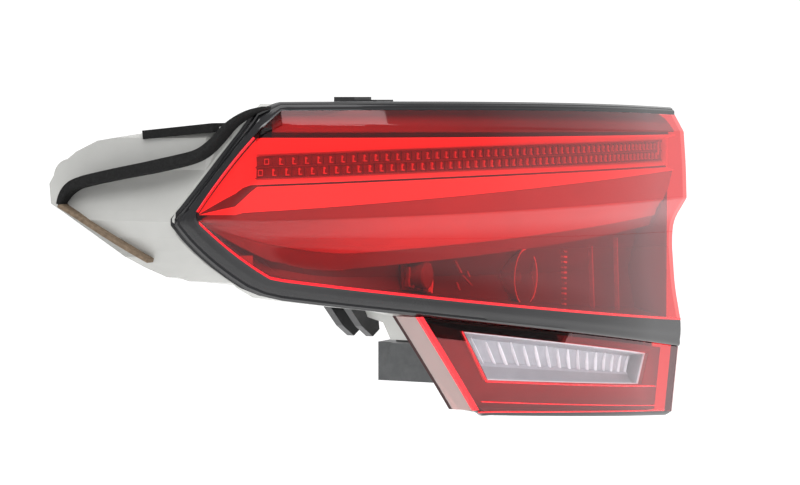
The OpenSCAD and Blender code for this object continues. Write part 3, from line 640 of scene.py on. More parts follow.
# slanted return wall, with the bright corner in front of it; the corner's brightness is a painted highlight
wall_f, wall_b = [], []
for y in (1.5, 5, 10, 16.1, 18.5):
    wall_f.append([rev_point(rev_left(v), rev_z(rev_left(v), v)) + [0, y, 0] for v in lin(0, 1, 12)])
    wall_b.append([rev_point(rev_left(v), rev_z(rev_left(v), v)) + [LT, y + 0.8, 0] for v in lin(0, 1, 12)])
n_wall = len(lens.m)
lens.shell(wall_f, wall_b, 3, 3, 3)
for r in range(11):
    k = n_wall + 2 * (3 * 11 + r)
    lens.m[k] = lens.m[k + 1] = 6
rings = []
for v in lin(0.0, 1, 24):
    s = rev_left(v)
    z = rev_z(s, v)
    p = rev_point(s, z)
    rings.append([p + [-0.3, -0.25, 0], p + [3.6, -1.9, 0], p + [3.9, -0.6, 0], p + [1.6, 1.9, 0], p + [-0.35, 1.7, 0]])
lens.sweep(rings, 2)
# painted highlight: lines round the window in the bright red edge colour
for pts, wd in (([(302.6, -79.2), (276.0, -114.4)], 1.0), ([(276.0, -114.3), (160, -126.3), (40.5, -138.2)], 1.1),
                ([(279.5, -127.6), (160, -140.2), (36, -153.0)], 0.8), ([(281.5, -134.6), (265, -135.6), (160, -145.0), (15.6, -158.6)], 1.0)):
    dense = path(pts, 30)
    rings = []
    for k, p in enumerate(dense):
        a, b = np.array(dense[max(k - 1, 0)]), np.array(dense[min(k + 1, 29)])
        d = (b - a) / (np.linalg.norm(b - a) + 1e-9)
        u = np.array([-d[1], d[0]])
        rings.append([rev_point(p[0] + u[0] * q * wd, p[1] + u[1] * q * wd, g) for q, g in ((-0.5, -0.02), (-0.3, -0.25), (0.3, -0.25), (0.5, -0.02), (0.5, 0.8), (-0.5, 0.8))])
    lens.sweep(rings, 2)
# the small facets where the bevel meets the slanted outline carry no gloss and take the darker lens tint, painted shade
corner = at(451.6, 53.8, 6.0)
for i, fc in enumerate(lens.f):
    if lens.m[i] in (0, 2) and np.linalg.norm(np.mean([lens.v[j] for j in fc], axis=0) - corner) < 9.0:
        lens.m[i] = 5
ob_lens = build("outer_lens_shell", lens.v, lens.f, [LENS, LENS_IN, LENS_EDGE_HIGHLIGHT, LENS_WALL, LENS_END, LENS_SHADE, WALL_LINE], lens.m, sharp=26, node="outer_lens")

# clear window
w = Bag()
wf = [[rev_point(*win(-0.12, u, v), 0.05) for v in lin(0, 1, 8)] for u in lin(0, 1, 40)]
wb = [[rev_point(*win(-0.12, u, v), LT - 0.1) for v in lin(0, 1, 8)] for u in lin(0, 1, 40)]
w.shell(wf, wb, 0, 1, 0)
build("reverse_window_pane", w.v, w.f, [WINDOW, WINDOW_IN], w.m, node="reverse_window")

# ---------------------------------------------------------------- black frame
ecols = lin(0, 440, 75)
e_in = [(s, z_top(s) - 5, 9.8) for s in ecols] + [(*arm_up(t), 2.8) for t in lin(0, 1, 13)]
e_in += [(*arm_low(t), 2.5) for t in lin(1, 0, 13)] + [(s, z_inner(s), 4.4 - 1.9 * s / 495) for s in ecols[::-1]]


up_o = [(456, 64.5), (461.5, 56), (471, 44), (481, 31), (491, 18), (500, 6.5), (507.4, -2.5)]
lo_o = [(507.4, -6.5), (501, -15), (493, -23.5), (483.5, -32), (473.5, -39.6), (463, -46.6), (452, -51)]
e_out = [(s, z_top(s), 12.6) for s in ecols]
e_out += [(s, z, 9.0) for s, z in path(up_o, 13)] + [(s, z, 7.5) for s, z in path(lo_o, 13)]
e_out += [(s, z_low(s), 5 + 2.5 * s / 495) for s in ecols[::-1]]


def lip(s):
    return 5.0 if s < 365 else 3.4


def section(a, b):
    """Rounded front of the black shot between its inner and outer edges."""
    a, b = np.array(a, float), np.array(b, float)
    out = []
    for t in (0, 0.08, 0.2, 0.4, 0.6, 0.78, 0.9, 0.965, 1.0):
        p = mix(a, b, t)
        crown = min(a[2], b[2]) - 0.5 + 0.25 * abs(b[2] - a[2])
        base = mix(a[2] + 0.05, b[2], t)
        lift = (min(base, mix(base, crown, math.sin(math.pi * min(1, t / 0.8)) ** 0.7)) if t < 0.8 else base)
        edge_drop = 0.0 if t < 0.78 else (t - 0.78) ** 2 * 14
        out.append(at(p[0], p[1], lift if t < 0.8 else mix(crown, b[2], ((t - 0.6) / 0.4) ** 2)))
    q = at(*b)
    lp = lip(b[0])
    o = (b - a)[:2] / (np.linalg.norm((b - a)[:2]) + 1e-9)
    for dd, dg in ((0.35, 0.25), (0.55, 0.8), (0.6, 1.6)):
        out.append(at(b[0] + o[0] * dd, b[1] + o[1] * dd, b[2] + dg))
    out.append(q + [0, lp, 0])
    k = mix(b, a, 0.22)
    out.append(at(k[0], k[1], b[2]) + [0, lp, 0])
    out.append(at(k[0], k[1], b[2] + 2.2))
    out.append(at(a[0], a[1], a[2] + LT - 0.05))
    return out


fr = Bag()
fr.sweep([section(a, b) for a, b in zip(e_in, e_out)], 0)
# rim of the reversing section: inboard edge and foot
rim = [(1.0, z) for z in (-109.8, -120, -130, -140, -150, -157)] + [(2.2, -161.3)] + [(s, z_bottom(s) + 1.5) for s in lin(10, 268, 24)] + [(276, -136.3), (281.5, -133), (286.5, -129.5)]
rings = []
for s, z in rim[6:]:
    g = rev_g(s, z)
    rings.append([at(s, z + 1.9, g - 0.05), at(s, z + 0.2, g + 0.1), at(s, z - 1.0, g + 1.0), at(s, z - 1.3, g + 2.4), at(s, z - 1.2, g + 4.7), at(s, z + 1.9, g + 4.7)])
fr.sweep(rings, 0)
rings = []
for s, z in rim[:7]:
    g = rev_g(0, z)
    rings.append([(-2.2, g - 0.05, z), (0.15, g + 0.1, z), (0.2, g + 5.5, z), (-0.5, g + 5.5, z), (-2.2, g + 1.5, z)])
fr.sweep(rings, 0)
build("lens_frame_shot", fr.v, fr.f, [BLACK], fr.m, sharp=40, node="lens_frame")

# ---------------------------------------------------------------- trough and upper bezel
tcols = [8, 12] + lin(18, 440, 66) + [446, 452, 456, 460, 465, 470, 475, 480, 485, 489, 492.5]


def trough_rows(s):
    cut = 1.0 if s < 456 else max(0.0, 1 - (s - 456) / 26)
    st, sb, tl, lipz = z_st(s), z_sb(s), z_tl(s), z_lip(s)
    deepg = mix(8.5, 17, cut)
    gr = 1.1 * min(1, max(0, (s - 190) / 120)) if s < 456 else 0.0
    rows = [(lipz, 6.0, 0), (lipz - 0.8, 6.2, 0), (mix(lipz, st, 0.85), mix(6, deepg, 0.85), 0), (st, deepg, 0),
            (st - 0.15, deepg + 0.4, 0), (sb + 0.15, deepg + 0.4, 0), (sb, deepg, 0), (sb - 3.2, mix(deepg, 7.5, 0.36), 0),
            (sb - 3.3, mix(deepg, 7.5, 0.36) + gr * 1.6, 1), (sb - 4.3, mix(deepg, 7.5, 0.46) + gr * 1.6, 1), (sb - 4.4, mix(deepg, 7.5, 0.46), 0),
            (tl + 0.8, 7.8, 0), (tl, 7.6, 0)]
    zs = [r[0] for r in rows]
    for i in range(1, len(rows)):  # rows keep their order where the band narrows
        if rows[i][0] > rows[i - 1][0] - 0.05:
            rows[i] = (rows[i - 1][0] - 0.05, rows[i][1], rows[i][2])
    if s > 456:  # the band runs on flat into the pointed end
        f = min(1.0, (s - 456) / 12)
        floor_z = max(z_tl(s) if s < 470 else 0, z_ridge(s) + 1.5)
        top = max(lipz, floor_z + 0.6)
        rows = [(mix(z, mix(top, min(floor_z, top - 0.6), k / 12), f), mix(g, 6.2, f), m) for k, (z, g, m) in enumerate(rows)]
    return rows


tr_ = Bag()
R = [trough_rows(s) for s in tcols]
# painted shade: the groove rows of the trough take the dark groove colour
tr_.shell([[at(s, z, g) for z, g, m in r] for s, r in zip(tcols, R)], [[at(s, z, g + 1.6) for z, g, m in r] for s, r in zip(tcols, R)],
          rowmat=[0, 0, 0, 0, 0, 0, 0, 1, 1, 1, 0, 0])
# end wall at the inboard end
tr_.shell([[at(8, z, g) for g in (12.5, 17, 22)] for z in lin(45.5, 21.5, 8)], [[at(9.6, z, g) for g in (12.5, 17, 22)] for z in lin(45.5, 21.5, 8)], 0, 0, 0)
build("light_trough_reflector", tr_.v, tr_.f, [BRIGHT, GROOVE_SHADE], tr_.m, sharp=18, node="light_trough")

ub = Bag()
ucols = lin(8, 446, 70)
rows_u = []
for s in ucols:
    l, t, h = z_lip(s), z_top(s), z_sh(s)
    a = l + mix(1.8, 3.4, min(1.0, s / 330))
    rows_u.append([(l - 0.2, 9.2), (l + 0.5, 12.0), (a - 0.3, 12.0), (a, 7.6), (a + 0.9, 7.4), (mix(a, t - 4.6, 0.4), 10.6), (mix(a, t - 4.6, 0.7), 14.0), (t - 4.6, 19.5)])
# painted shade: the bottom return of the upper bezel, in the gap above the trough lip, takes the dark groove colour
ub.shell([[at(s, z, g) for z, g in r] for s, r in zip(ucols, rows_u)], [[at(s, z, g + 1.5) for z, g in r] for s, r in zip(ucols, rows_u)], rowmat=[1, 1, 1, 0, 0, 0, 0])
build("upper_bezel_moulding", ub.v, ub.f, [UPPER, GROOVE_SHADE], ub.m, sharp=22, node="upper_bezel" if "upper_bezel" in NODES else None)

# ---------------------------------------------------------------- pixel strip
ps = Bag()
scols = lin(9, 440, 78) + [446, 452, 457, 459.5]


def strip_z(s, v, e=0.5):
    return mix(z_st(s) - e, z_sb(s) + e, v)


def strip_row(s):
    # raised rails at the top, middle and bottom, pockets between them
    out = []
    for v, g in ((0, 16.0), (0.035, 15.9), (0.05, 17.0), (0.455, 17.2), (0.47, 16.3), (0.53, 16.3), (0.545, 17.2), (0.95, 17.0), (0.965, 15.9), (1.0, 16.0)):
        lean = 0.0
        out.append((s, strip_z(s, v), g))
    return out


def lean(s, k):
    """The strip's outboard end leans with the lens's edge."""
    return s + max(0.0, (s - 440) / 17.5) * (1 - 2 * k) * -4.6


sf, sb_ = [], []
for s in scols:
    r = strip_row(s)
    sf.append([at(lean(s, k / 9), z, g) for k, (q, z, g) in enumerate(r)])
    sb_.append([at(lean(s, k / 9), z, 19.5) for k, (q, z, g) in enumerate(r)])
ps.shell(sf, sb_, rowmat=[0, 0, 0, 0, 0, 0, 0, 0, 0])


def mark(s, v0, v1, wide=2.3, scale=1.0):
    """Raised element: an upright with a foot and a small head."""
    d = wide * scale
    g0, g1 = 15.75, 17.4
    bar = 0.42 * d

    def q(ds, v, g):
        return at(s + ds, strip_z(s + ds, v), g)

    outline = [(0.5 * bar, v0), (0.5 * bar, v1), (-0.9 * d, v1), (-0.9 * d, v1 - 0.045), (-0.5 * bar, v1 - 0.06), (-0.5 * bar, v0 + 0.10),
               (-0.5 * d, v0 + 0.10), (-0.5 * d, v0 + 0.06), (-0.5 * bar, v0)]
    ps.sweep([[q(ds, v, g) for ds, v in outline] for g in (g1, g0 + 0.15)] + [[q(ds * 0.9, mix(v, 0.5 * (v0 + v1), 0.04), g0) for ds, v in outline]], 1)


def mark_s(i):
    return 449.34 - 9.3974 * i + 0.042724 * i * i - 0.00031167 * i ** 3


def cell_wall(s, v0, v1):
    """Thin divider between two pockets."""
    pts = [(0.28, v0), (0.28, v1), (-0.28, v1), (-0.28, v0)]
    ps.sweep([[at(s + ds, strip_z(s + ds, v), g) for ds, v in pts] for g in (17.3, 16.1)], 0)


for i in range(58):
    s = mark_s(i)
    if s < 10:
        break
    pitch = mark_s(i) - mark_s(i + 1)
    k = pitch / 8.6
    if i == 0:
        for v0, v1, ds in ((0.13, 0.40, 0), (0.60, 0.88, 4.4)):
            for a, b in (((-1.7, v0), (1.7, v0 + 0.05)), ((-1.7, v1 - 0.05), (1.7, v1)), ((-1.7, v0), (-1.1, v1)), ((1.1, v0), (1.7, v1))):
                pts = [(a[0], a[1]), (b[0], a[1]), (b[0], b[1]), (a[0], b[1])]
                ps.sweep([[at(s + ds + du, strip_z(s + ds + du, v), g) for du, v in pts] for g in (17.3, 15.7)], 1)
        continue
    mark(s, 0.12, 0.43, 2.4 * k)
    mark(s + 0.53 * pitch, 0.58, 0.90, 2.4 * k)
    cell_wall(s + 0.5 * pitch, 0.06, 0.45)
    cell_wall(s + 1.03 * pitch, 0.55, 0.94)
# brighter upright near the inboard end
ps.sweep([[at(18.5 + ds, strip_z(18.5, v), g) for ds, v in ((-1, 0.02), (1, 0.02), (1, 0.7), (-1, 0.7))] for g in (15.4, 17)], 1)
build("pixel_strip_optic", ps.v, ps.f, [STRIP, MARK], ps.m, sharp=30, node="pixel_strip")

# ---------------------------------------------------------------- lower bezel and chamber
lb = Bag()
bcols = [8, 12] + lin(18, 440, 66) + [446, 452, 458, 464, 470, 476, 482, 487, 491]


def deep(s):
    return 48 if s < 380 else max(22, 48 - (s - 380) * 0.5)


def bezel_rows(s):
    l = max(z_inner(s), z_armlow(s)) + 0.3
    k = z_tl(s) - 0.3
    r = min(z_ridge(s) - 0.3, k - 1.0)
    f = min(1.0, max(0.12, (495 - s) / 70))
    c1, c2 = z_c1(s), z_c2(s)
    if s > 385:
        u = min(1, (s - 385) / 60)
        c1 = mix(c1, mix(r, l, 0.42), u)
        c2 = mix(c2, mix(r, l, 0.72), u)
    c1 = max(c1, l + 2.5)
    c2 = max(min(c2, c1 - 1.0), l + 1.4)
    d = mix(min(deep(s), 10 + (c2 - l) * 1.6), c2 - l, 0)
    gb = 9.0 + 2.0 * f
    rows = [(k, 8.4), (mix(k, r, 0.5), 8.4 + 2.6 * f), (r, 8.6 + 5.4 * f), (mix(r, c1, 0.3), 9 + 8.5 * f), (mix(r, c1, 0.65), 9 + 11 * f), (c1, 9 + 12.4 * f),
            (c1 - 0.5, 9 + 13.4 * f), (mix(c1, c2, 0.5), 9 + 15.5 * f), (c2, 9 + 17 * f), (c2 - 0.4, 9 + min(26 * f, 4 + (c2 - l) * 1.1)),
            (mix(c2, l, 0.45), 9 + min(34 * f, 6 + (c2 - l) * 1.1)), (mix(c2, l, 0.9), 9 + min(28 * f, 5 + (c2 - l))), (l + 0.25, gb), (l, 7.0)]
    out = [rows[0]]
    for z, g in rows[1:]:
        out.append((min(z, out[-1][0] - 0.04), g))
    return out


R = [bezel_rows(s) for s in bcols]
lb.shell([[at(s, z, g) for z, g in r] for s, r in zip(bcols, R)], [[at(s, z, g + 1.6) for z, g in r] for s, r in zip(bcols, R)],
         rowmat=[0, 0, 1, 1, 1, 1, 2, 2, 2, 3, 3, 3, 2])
# inboard end wall of the bezel and chamber, curved forward
wallf, wallb = [], []
for z, g in R[0]:
    g1 = max(g, 13.2)
    wallf.append([at(8 + 1.6 * k * (1 - k) * 4, z, mix(12.6, g1 + 1.0, k)) for k in lin(0, 1, 5)])
    wallb.append([at(9.4 + 1.6 * k * (1 - k) * 4, z, mix(12.6, g1 + 1.0, k)) for k in lin(0, 1, 5)])
lb.shell(wallf, wallb, 3, 3, 3)


def chamber_g(s, z):
    """Depth of the bezel at a place."""
    r = bezel_rows(s)
    zs = [q[0] for q in r][::-1]
    gs = [q[1] for q in r][::-1]
    return float(np.interp(z, zs, gs))


# upright ribs and the dotted column in the chamber
for s0, s1, z0, z1, wd, g in ((113.2, 109.0, -32.0, -78.0, 0.9, 29.0), (67.2, 62.5, -28.0, -82.5, 0.9, 29.0)):
    lb.sweep([[at(mix(s0, s1, v) - wd, mix(z0, z1, v), g), at(mix(s0, s1, v) + wd, mix(z0, z1, v), g), at(mix(s0, s1, v) + wd, mix(z0, z1, v), g + 3), at(mix(s0, s1, v) - wd, mix(z0, z1, v), g + 3)] for v in lin(0, 1, 10)], 5)
for k in range(11):
    z = -34.0 - 3.7 * k
    w = 2.6 - 0.12 * k
    lb.sweep([[at(154.5 + w, z + 0.9, g), at(154.5 - w, z + 0.5, g), at(154.8 - w, z - 0.9, g), at(154.2 + w, z - 0.4, g)] for g in (29.0, 31.5)], 4 if k % 3 else 5)
# sloping mark and small facets between the guide and the bowl
for (a, b) in (((285.5, -34.5), (279.0, -43.0)), ((278.0, -44.5), (268.0, -52.0)), ((284.0, -49.0), (281.0, -54.5)), ((273.0, -42.0), (270.5, -46.0))):
    lb.sweep([[at(mix(a[0], b[0], v) + du, mix(a[1], b[1], v), g) for du, g in ((-0.8, 30), (0.8, 30), (0.8, 31.5), (-0.8, 31.5))] for v in (0, 0.35, 0.7, 1)], 5)
build("lower_bezel_moulding", lb.v, lb.f, [BEZ_A, BEZ_B, BEZ_C, CHAMBER, MARK, RIBTONE], lb.m, sharp=20, node="lower_bezel")

# stop light guide: bright prism bars and a round guide behind them
lg = Bag()
for s0, w0, za, zb, mt in ((330.0, 0.7, -37, -50, 2), (326.3, 0.6, -39, -51, 2), (320.6, 0.8, -36.5, -52, 0), (317.6, 0.5, -38, -47, 2), (314.9, 0.9, -36, -52.5, 0), (312.0, 1.3, -35.6, -54, 0), (309.3, 0.8, -43, -55, 0)):
    rings = []
    for v in lin(0, 1, 9):
        z = mix(za, zb, v)
        wob = 0.35 * math.sin(7 * v + s0)
        rings.append([at(s0 - w0 + wob, z, 29.0), at(s0 + w0 + wob, z, 29.0), at(s0 + w0, z, 33.5), at(s0 - w0, z, 33.5)])
    lg.sweep(rings, mt)
lg.sweep([[at(s, z, g) for s, z in ((334, -35.5), (308, -35.5), (307, -55), (333, -52))] for g in (33.5, 36.0)], 1)
lg.lathe([(70.5, 8.2), (71.2, 9), (111, 9), (112, 8.2)], (-300, 0, -43), "y", 36, 1)
build("stop_light_guide_optic", lg.v, lg.f, [GUIDE, GUIDE_DARK, RIBTONE], lg.m, sharp=30, node="stop_light_guide")

# signal reflector with flutes
sr = Bag()
prof = [(78, 15.2), (77.5, 16.4), (68, 17.9), (58, 19.1), (48, 20.0), (48.1, 18.7), (58, 17.8), (68, 16.7), (76, 15.3)]
sr.lathe(prof + [prof[0]], (-190, 0, -50), "y", 96, 0, flute=32, depth=0.02)
build("signal_reflector_bowl", sr.v, sr.f, [CHROME_SOFT], sr.m, sharp=30, node="signal_reflector")

# ---------------------------------------------------------------- reversing light
rb = Bag()


def rb_ring(e):
    pts = []
    for i in range(NU):
        pts.append(win(e, i / NU, 0))
    for i in range(NV):
        pts.append(win(e, 1, i / NV))
    for i in range(NU):
        pts.append(win(e, 1 - i / NU, 1))
    for i in range(NV):
        pts.append(win(e, 0, 1 - i / NV))
    return pts + pts[:1]


outer_m = []
for i in range(NU):
    s = mix(rev_left(0.02) - 5, 16, i / NU); outer_m.append((s, rev_z(s, 0.03)))
for i in range(NV):
    outer_m.append((16, rev_z(16, 0.03 + 0.94 * i / NV)))
for i in range(NU):
    s = mix(16, rev_left(0.98) - 5, i / NU); outer_m.append((s, rev_z(s, 0.97)))
for i in range(NV):
    v = 0.97 - 0.94 * i / NV
    outer_m.append((rev_left(v) - 5, rev_z(rev_left(v) - 5, v)))
outer_m.append(outer_m[0])
inner = rb_ring(0.6)
inner2 = rb_ring(-1.2)
F, Bk = [], []
for a, b, c in zip(outer_m, inner, inner2):
    row = [(a, 8.0), ((mix(a[0], b[0], 0.35), mix(a[1], b[1], 0.35)), 7.0), ((mix(a[0], b[0], 0.7), mix(a[1], b[1], 0.7)), 6.0), ((mix(a[0], b[0], 0.93), mix(a[1], b[1], 0.93)), 4.2), (b, 4.0), (c, 5.0), (c, 9.0)]
    F.append([rev_point(p[0], p[1], g) for p, g in row])
    Bk.append([rev_point(p[0], p[1], g + 1.5) for p, g in row])
rb.shell(F, Bk, rowmat=[0, 0, 0, 0, 1, 1])
# painted shade: the top rows at the outboard corner take the black shade colour, the rest of the top takes the grey
for c in list(range(NU)) + list(range(2 * NU + 2 * NV - 2, 2 * NU + 2 * NV)):
    for r in range(4):
        k = 2 * (c * 6 + r)
        if c < 18 or c >= 2 * NU + 2 * NV - 2:
            rb.m[k] = rb.m[k + 1] = 2
        elif c < NU:
            rb.m[k] = rb.m[k + 1] = 1
def bead(bag, pts, w, mat, loop=False):
    """Thin raised line through points, w wide."""
    rings_ = []
    n_ = len(pts)
    for i_, p_ in enumerate(pts):
        a_, b_ = np.array(pts[(i_ - 1) % n_ if loop else max(i_ - 1, 0)]), np.array(pts[(i_ + 1) % n_ if loop else min(i_ + 1, n_ - 1)])
        d_ = (b_ - a_) / (np.linalg.norm(b_ - a_) + 1e-9)
        u_ = np.array([-d_[1], d_[0]])
        q_ = [rev_point(p_[0] + u_[0] * k_ * w, p_[1] + u_[1] * k_ * w, g_) for k_, g_ in ((-0.5, 0.0), (-0.3, -0.22), (0.3, -0.22), (0.5, 0.0), (0.5, 0.6), (-0.5, 0.6))]
        rings_.append(q_)
    bag.sweep(rings_, mat, loop=loop)


def inset_ring(g_, e_, w_):
    """Light edge round the window, g_ behind the lens's face."""
    r_ = rb_ring(e_)[:-1]
    r2_ = rb_ring(e_ - w_)[:-1]
    rings_ = []
    for a_, b_ in zip(r_, r2_):
        rings_.append([rev_point(a_[0], a_[1], g_), rev_point(b_[0], b_[1], g_ + 0.3), rev_point(b_[0], b_[1], g_ + 1.5), rev_point(a_[0], a_[1], g_ + 1.5)])
    return rings_


rb.sweep(inset_ring(3.0, 0.4, 1.0), 3, loop=True)
# painted shade: black patch at the top outboard corner and the inboard end of the bezel, standing for the shade in the
# recess above the window
build("reverse_bezel_moulding", rb.v, rb.f, [REV_DARK, REV_GREY, REV_SHADE, REV_LINE], rb.m, sharp=30, node="reverse_bezel")

rr_ = Bag()
us = lin(0.0, 1.0, 121)
F, Bk = [], []
for u in us:
    wave = 0.35 * math.sin(2 * math.pi * 14 * u) ** 2
    row = []
    for v, g in ((0.01, 6.5), (0.05, 10.5), (0.12, 13.0 - wave), (0.35, 14.2 - wave), (0.62, 14.2 - wave), (0.66, 12.6), (0.72, 11.6), (0.80, 11.0), (0.90, 9.2), (0.985, 6.5)):
        s, z = win(-0.3, u, v)
        row.append(rev_point(s, z, g))
    F.append(row)
    Bk.append([p + np.array([0, 1.5, 0]) for p in row])
rr_.shell(F, Bk, rowmat=[1, 1, 0, 0, 0, 0, 1, 1, 1])
# upright flutes, evenly spaced along the field
for k in range(16):
    u = 0.075 + 0.90 * (k / 15.0)
    wd = 0.0038 + 0.0016 * ((k * 7) % 3)
    top = 0.10 + 0.03 * ((k * 5) % 3)
    rings = []
    for v in lin(top, 0.655, 9):
        lean_ = 0.012 * (v - 0.4)
        w = wd * (0.45 + 0.55 * min(1.0, (v - top) / 0.25 + 0.15))
        rings.append([rev_point(*win(-0.3, u + lean_ + du, v), g) for du, g in ((-w, 13.2), (-w * 0.4, 12.2), (w * 0.4, 12.2), (w, 13.2), (w, 14.4), (-w, 14.4))])
    rr_.sweep(rings, 2)
# end faces of the field
for u0, mt in ((0.0, 1), (1.0, 1)):
    rings = []
    for v in lin(0.02, 0.97, 6):
        rings.append([rev_point(*win(-0.3, u0, v), g) for g in (4.2, 8, 13.5)] + [rev_point(*win(-1.2, u0, v), g) for g in (13.5, 4.2)])
    rr_.sweep(rings, mt)
build("reverse_reflector_fluted", rr_.v, rr_.f, [REV_FIELD, REV_GREY, REV_WHITE], rr_.m, sharp=25, node="reverse_reflector")


# ---------------------------------------------------------------- bulbs and holders
def bulb(name, c, r, y0, length, mat, node, base_r, base_len):
    b = Bag()
    b.lathe([(y0, base_r * 0.9), (y0 - 1, base_r), (y0 - base_len + 1, base_r), (y0 - base_len, base_r * 0.8)], (c[0], 0, c[1]), "y", 36, 1)
    top = y0 - base_len
    prof = [(top + 0.3, r * 0.55), (top - length * 0.2, r * 0.75), (top - length * 0.45, r), (top - length * 0.65, r), (top - length * 0.85, r * 0.75), (top - length * 0.96, r * 0.4), (top - length, r * 0.08)]
    b.lathe(prof, (c[0], 0, c[1]), "y", 36, 0)
    for dx in (-1.2, 1.2):
        b.lathe([(top - 0.3, 0.25), (top - length * 0.5, 0.25)], (c[0] + dx, 0, c[1]), "y", 8, 1)
    pts = [(c[0] + 1.2 * math.cos(a) * 1.0, top - length * 0.5 - 0.6 * math.sin(a), c[1] + 0.3 * math.sin(6 * a)) for a in lin(0, math.pi, 12)]
    b.sweep([[np.array(p) + [0, 0.15 * math.cos(t), 0.15 * math.sin(t)] for t in lin(0, 2 * math.pi, 6)[:-1]] for p in pts], 1)
    return build(name, b.v, b.f, [mat, STEEL], b.m, node=node)


bulb("signal_bulb_glass", (-190, -50), 9.6, 92, 26, AMBER, "signal_bulb", 6.9, 14)
bulb("reverse_bulb_glass", (-160, -110), 6.1, 80, 21, GLASS, "reverse_bulb", 5.9, 18)


def holder(name, c, seat, r_in, r_fl, t_fl, r_out, y_end, slot_box, node):
    b = Bag()
    x, z = c
    b.lathe([(seat - 14, r_in - 1.0), (seat - 13, r_in), (seat + 0.6, r_in)], (x, 0, z), "y", 48)
    b.lathe([(seat, r_fl - 0.5), (seat + 0.5, r_fl), (seat + t_fl - 0.6, r_fl), (seat + t_fl, r_fl - 0.6)], (x, 0, z), "y", 60)
    # three bayonet lugs
    for k in range(3):
        a = 2 * math.pi * k / 3 + 0.4
        u = np.array([math.cos(a), math.sin(a)])
        n = np.array([-u[1], u[0]])
        o = [np.array([x, z]) + u * (r_in - 0.6) + n * q for q in (-2.5, 2.5)] + [np.array([x, z]) + u * (r_in + 1.2) + n * q for q in (2.5, -2.5)]
        b.prism(o, seat - 11, seat - 8, "y", 0, 0.3)
    # grip ribs round the outside
    for k in range(18):
        a = 2 * math.pi * k / 18
        u = np.array([math.cos(a), math.sin(a)])
        n = np.array([-u[1], u[0]])
        o = [np.array([x, z]) + u * (r_out - 0.4) + n * q for q in (-0.6, 0.6)] + [np.array([x, z]) + u * (r_out + 0.7) + n * q for q in (0.5, -0.5)]
        b.prism(o, seat + t_fl - 0.2, y_end - 1.5, "y", 0, 0.15)
    # barrel with a connector mouth: four walls round the mouth
    x0, z0, x1, z1, yf = slot_box
    n = 48
    rect, circ = [], []
    for k in range(n):
        a = 2 * math.pi * k / n
        cx, cz = math.cos(a), math.sin(a)
        hx, hz = (x1 - x0) / 2, (z1 - z0) / 2
        m = min(hx / max(abs(cx), 1e-6), hz / max(abs(cz), 1e-6))
        mx, mz = (x0 + x1) / 2, (z0 + z1) / 2
        rect.append((mx + cx * m, mz + cz * m))
        circ.append((x + cx * r_out, z + cz * r_out))
    v, f = [], []
    levels = [("c", seat + t_fl - 0.2, 1.0), ("c", y_end - 0.7, 1.0), ("c", y_end, 0.97), ("r", y_end, 1.0), ("r", yf, 1.0)]
    for kind, y, k in levels:
        for i in range(n):
            p = circ[i] if kind == "c" else rect[i]
            v.append((x + (p[0] - x) * k, y, z + (p[1] - z) * k))
    for l in range(len(levels) - 1):
        for i in range(n):
            a, c2 = l * n + i, l * n + (i + 1) % n
            f.append((a, c2, c2 + n, a + n))
    f.append(tuple(range(n))[::-1])
    f.append(tuple((len(levels) - 1) * n + i for i in range(n)))
    b.add(v, f, 0)
    # two contact blades in the mouth
    for q in (-0.22, 0.22):
        bx = (x0 + x1) / 2 + q * (x1 - x0)
        b.box(bx - 0.4, yf - 0.2, z - 1.4, bx + 0.4, yf + 0.55 * (y_end - yf), z + 1.4, 1, 0.1)
    return build(name, b.v, b.f, [SOCK, TIN], b.m, node=node)


holder("signal_holder", (-190, -50), 112.7, 14.5, 20, 4.3, 13, 129, (-197, -55, -183, -45, 119), "signal_socket")
holder("reverse_holder", (-160, -110), 100.5, 11.5, 16, 3.5, 10, 113.5, (-165.5, -114, -154.5, -106, 105.5), "reverse_socket")

# ---------------------------------------------------------------- gasket
SKIRT = 18.0
gk = Bag()


def band(pts, mat=0, deep=14.0):
    """Foam strip: pts hold (x, y, z, thickness across, slope in the y-z plane)."""
    n = len(pts)
    rings = []
    for i in range(n):
        x, y, z, th = pts[i]
        a, b = pts[max(i - 1, 0)], pts[min(i + 1, n - 1)]
        d = np.array([b[1] - a[1], b[2] - a[2]])
        d = d / (np.linalg.norm(d) + 1e-9)
        u = np.array([-d[1], d[0]]) * th * 0.5
        e = min(0.8, th * 0.3)
        sec = []
        for du, dx in ((-1.0, deep), (-1.0, e), (-1 + e / th, 0.25 * e), (0, 0.0), (1 - e / th, 0.25 * e), (1.0, e), (1.0, deep)):
            sec.append((x + dx, y + u[0] * du, z + u[1] * du))
        rings.append(sec)
    gk.sweep(rings, mat)


def smooth(pts, n):
    """Even, rounded run through the points of a path."""
    p = np.array(pts, float)
    d = np.concatenate([[0], np.cumsum(np.linalg.norm(np.diff(p[:, :3], axis=0), axis=1))])
    t = np.linspace(0, d[-1], n)
    q = np.stack([np.interp(t, d, p[:, k]) for k in range(p.shape[1])], 1)
    for _ in range(3):
        q[1:-1] = 0.25 * q[:-2] + 0.5 * q[1:-1] + 0.25 * q[2:]
    return [tuple(r) for r in q]


# over the pointed end's edge, from the apex up to the lens's top corner
band(smooth([(-441, 265.7, 5.4, 3.3), (-441.5, 264, 10.7, 4.2), (-442, 257.4, 17.6, 5.8), (-442, 246.7, 20.7, 6.7), (-442, 225.6, 24.9, 7.1), (-442, 198.7, 29.7, 7.5),
             (-441, 179.9, 33.6, 7.5), (-439, 169.1, 36.4, 6.7), (-437, 163.1, 39.5, 5.0), (-433, 155.8, 47.2, 3.8), (-429, 149.8, 56, 3.3), (-426, 143.2, 61.2, 2.9),
             (-422, 137.1, 65, 2.5), (-416, 130, 67.1, 1.8)], 60))
# under the pointed end, thinner where the foam is compressed; its brown tone is painted shadow on the lower edge
band(smooth([(-441, 265.6, 4.7, 2.9), (-441, 252.4, -1.8, 3.3), (-440, 234.4, -12, 3.3), (-437, 217.7, -21.6, 3.3), (-433, 203.9, -29.7, 2.9)], 30), 1, 9.0)


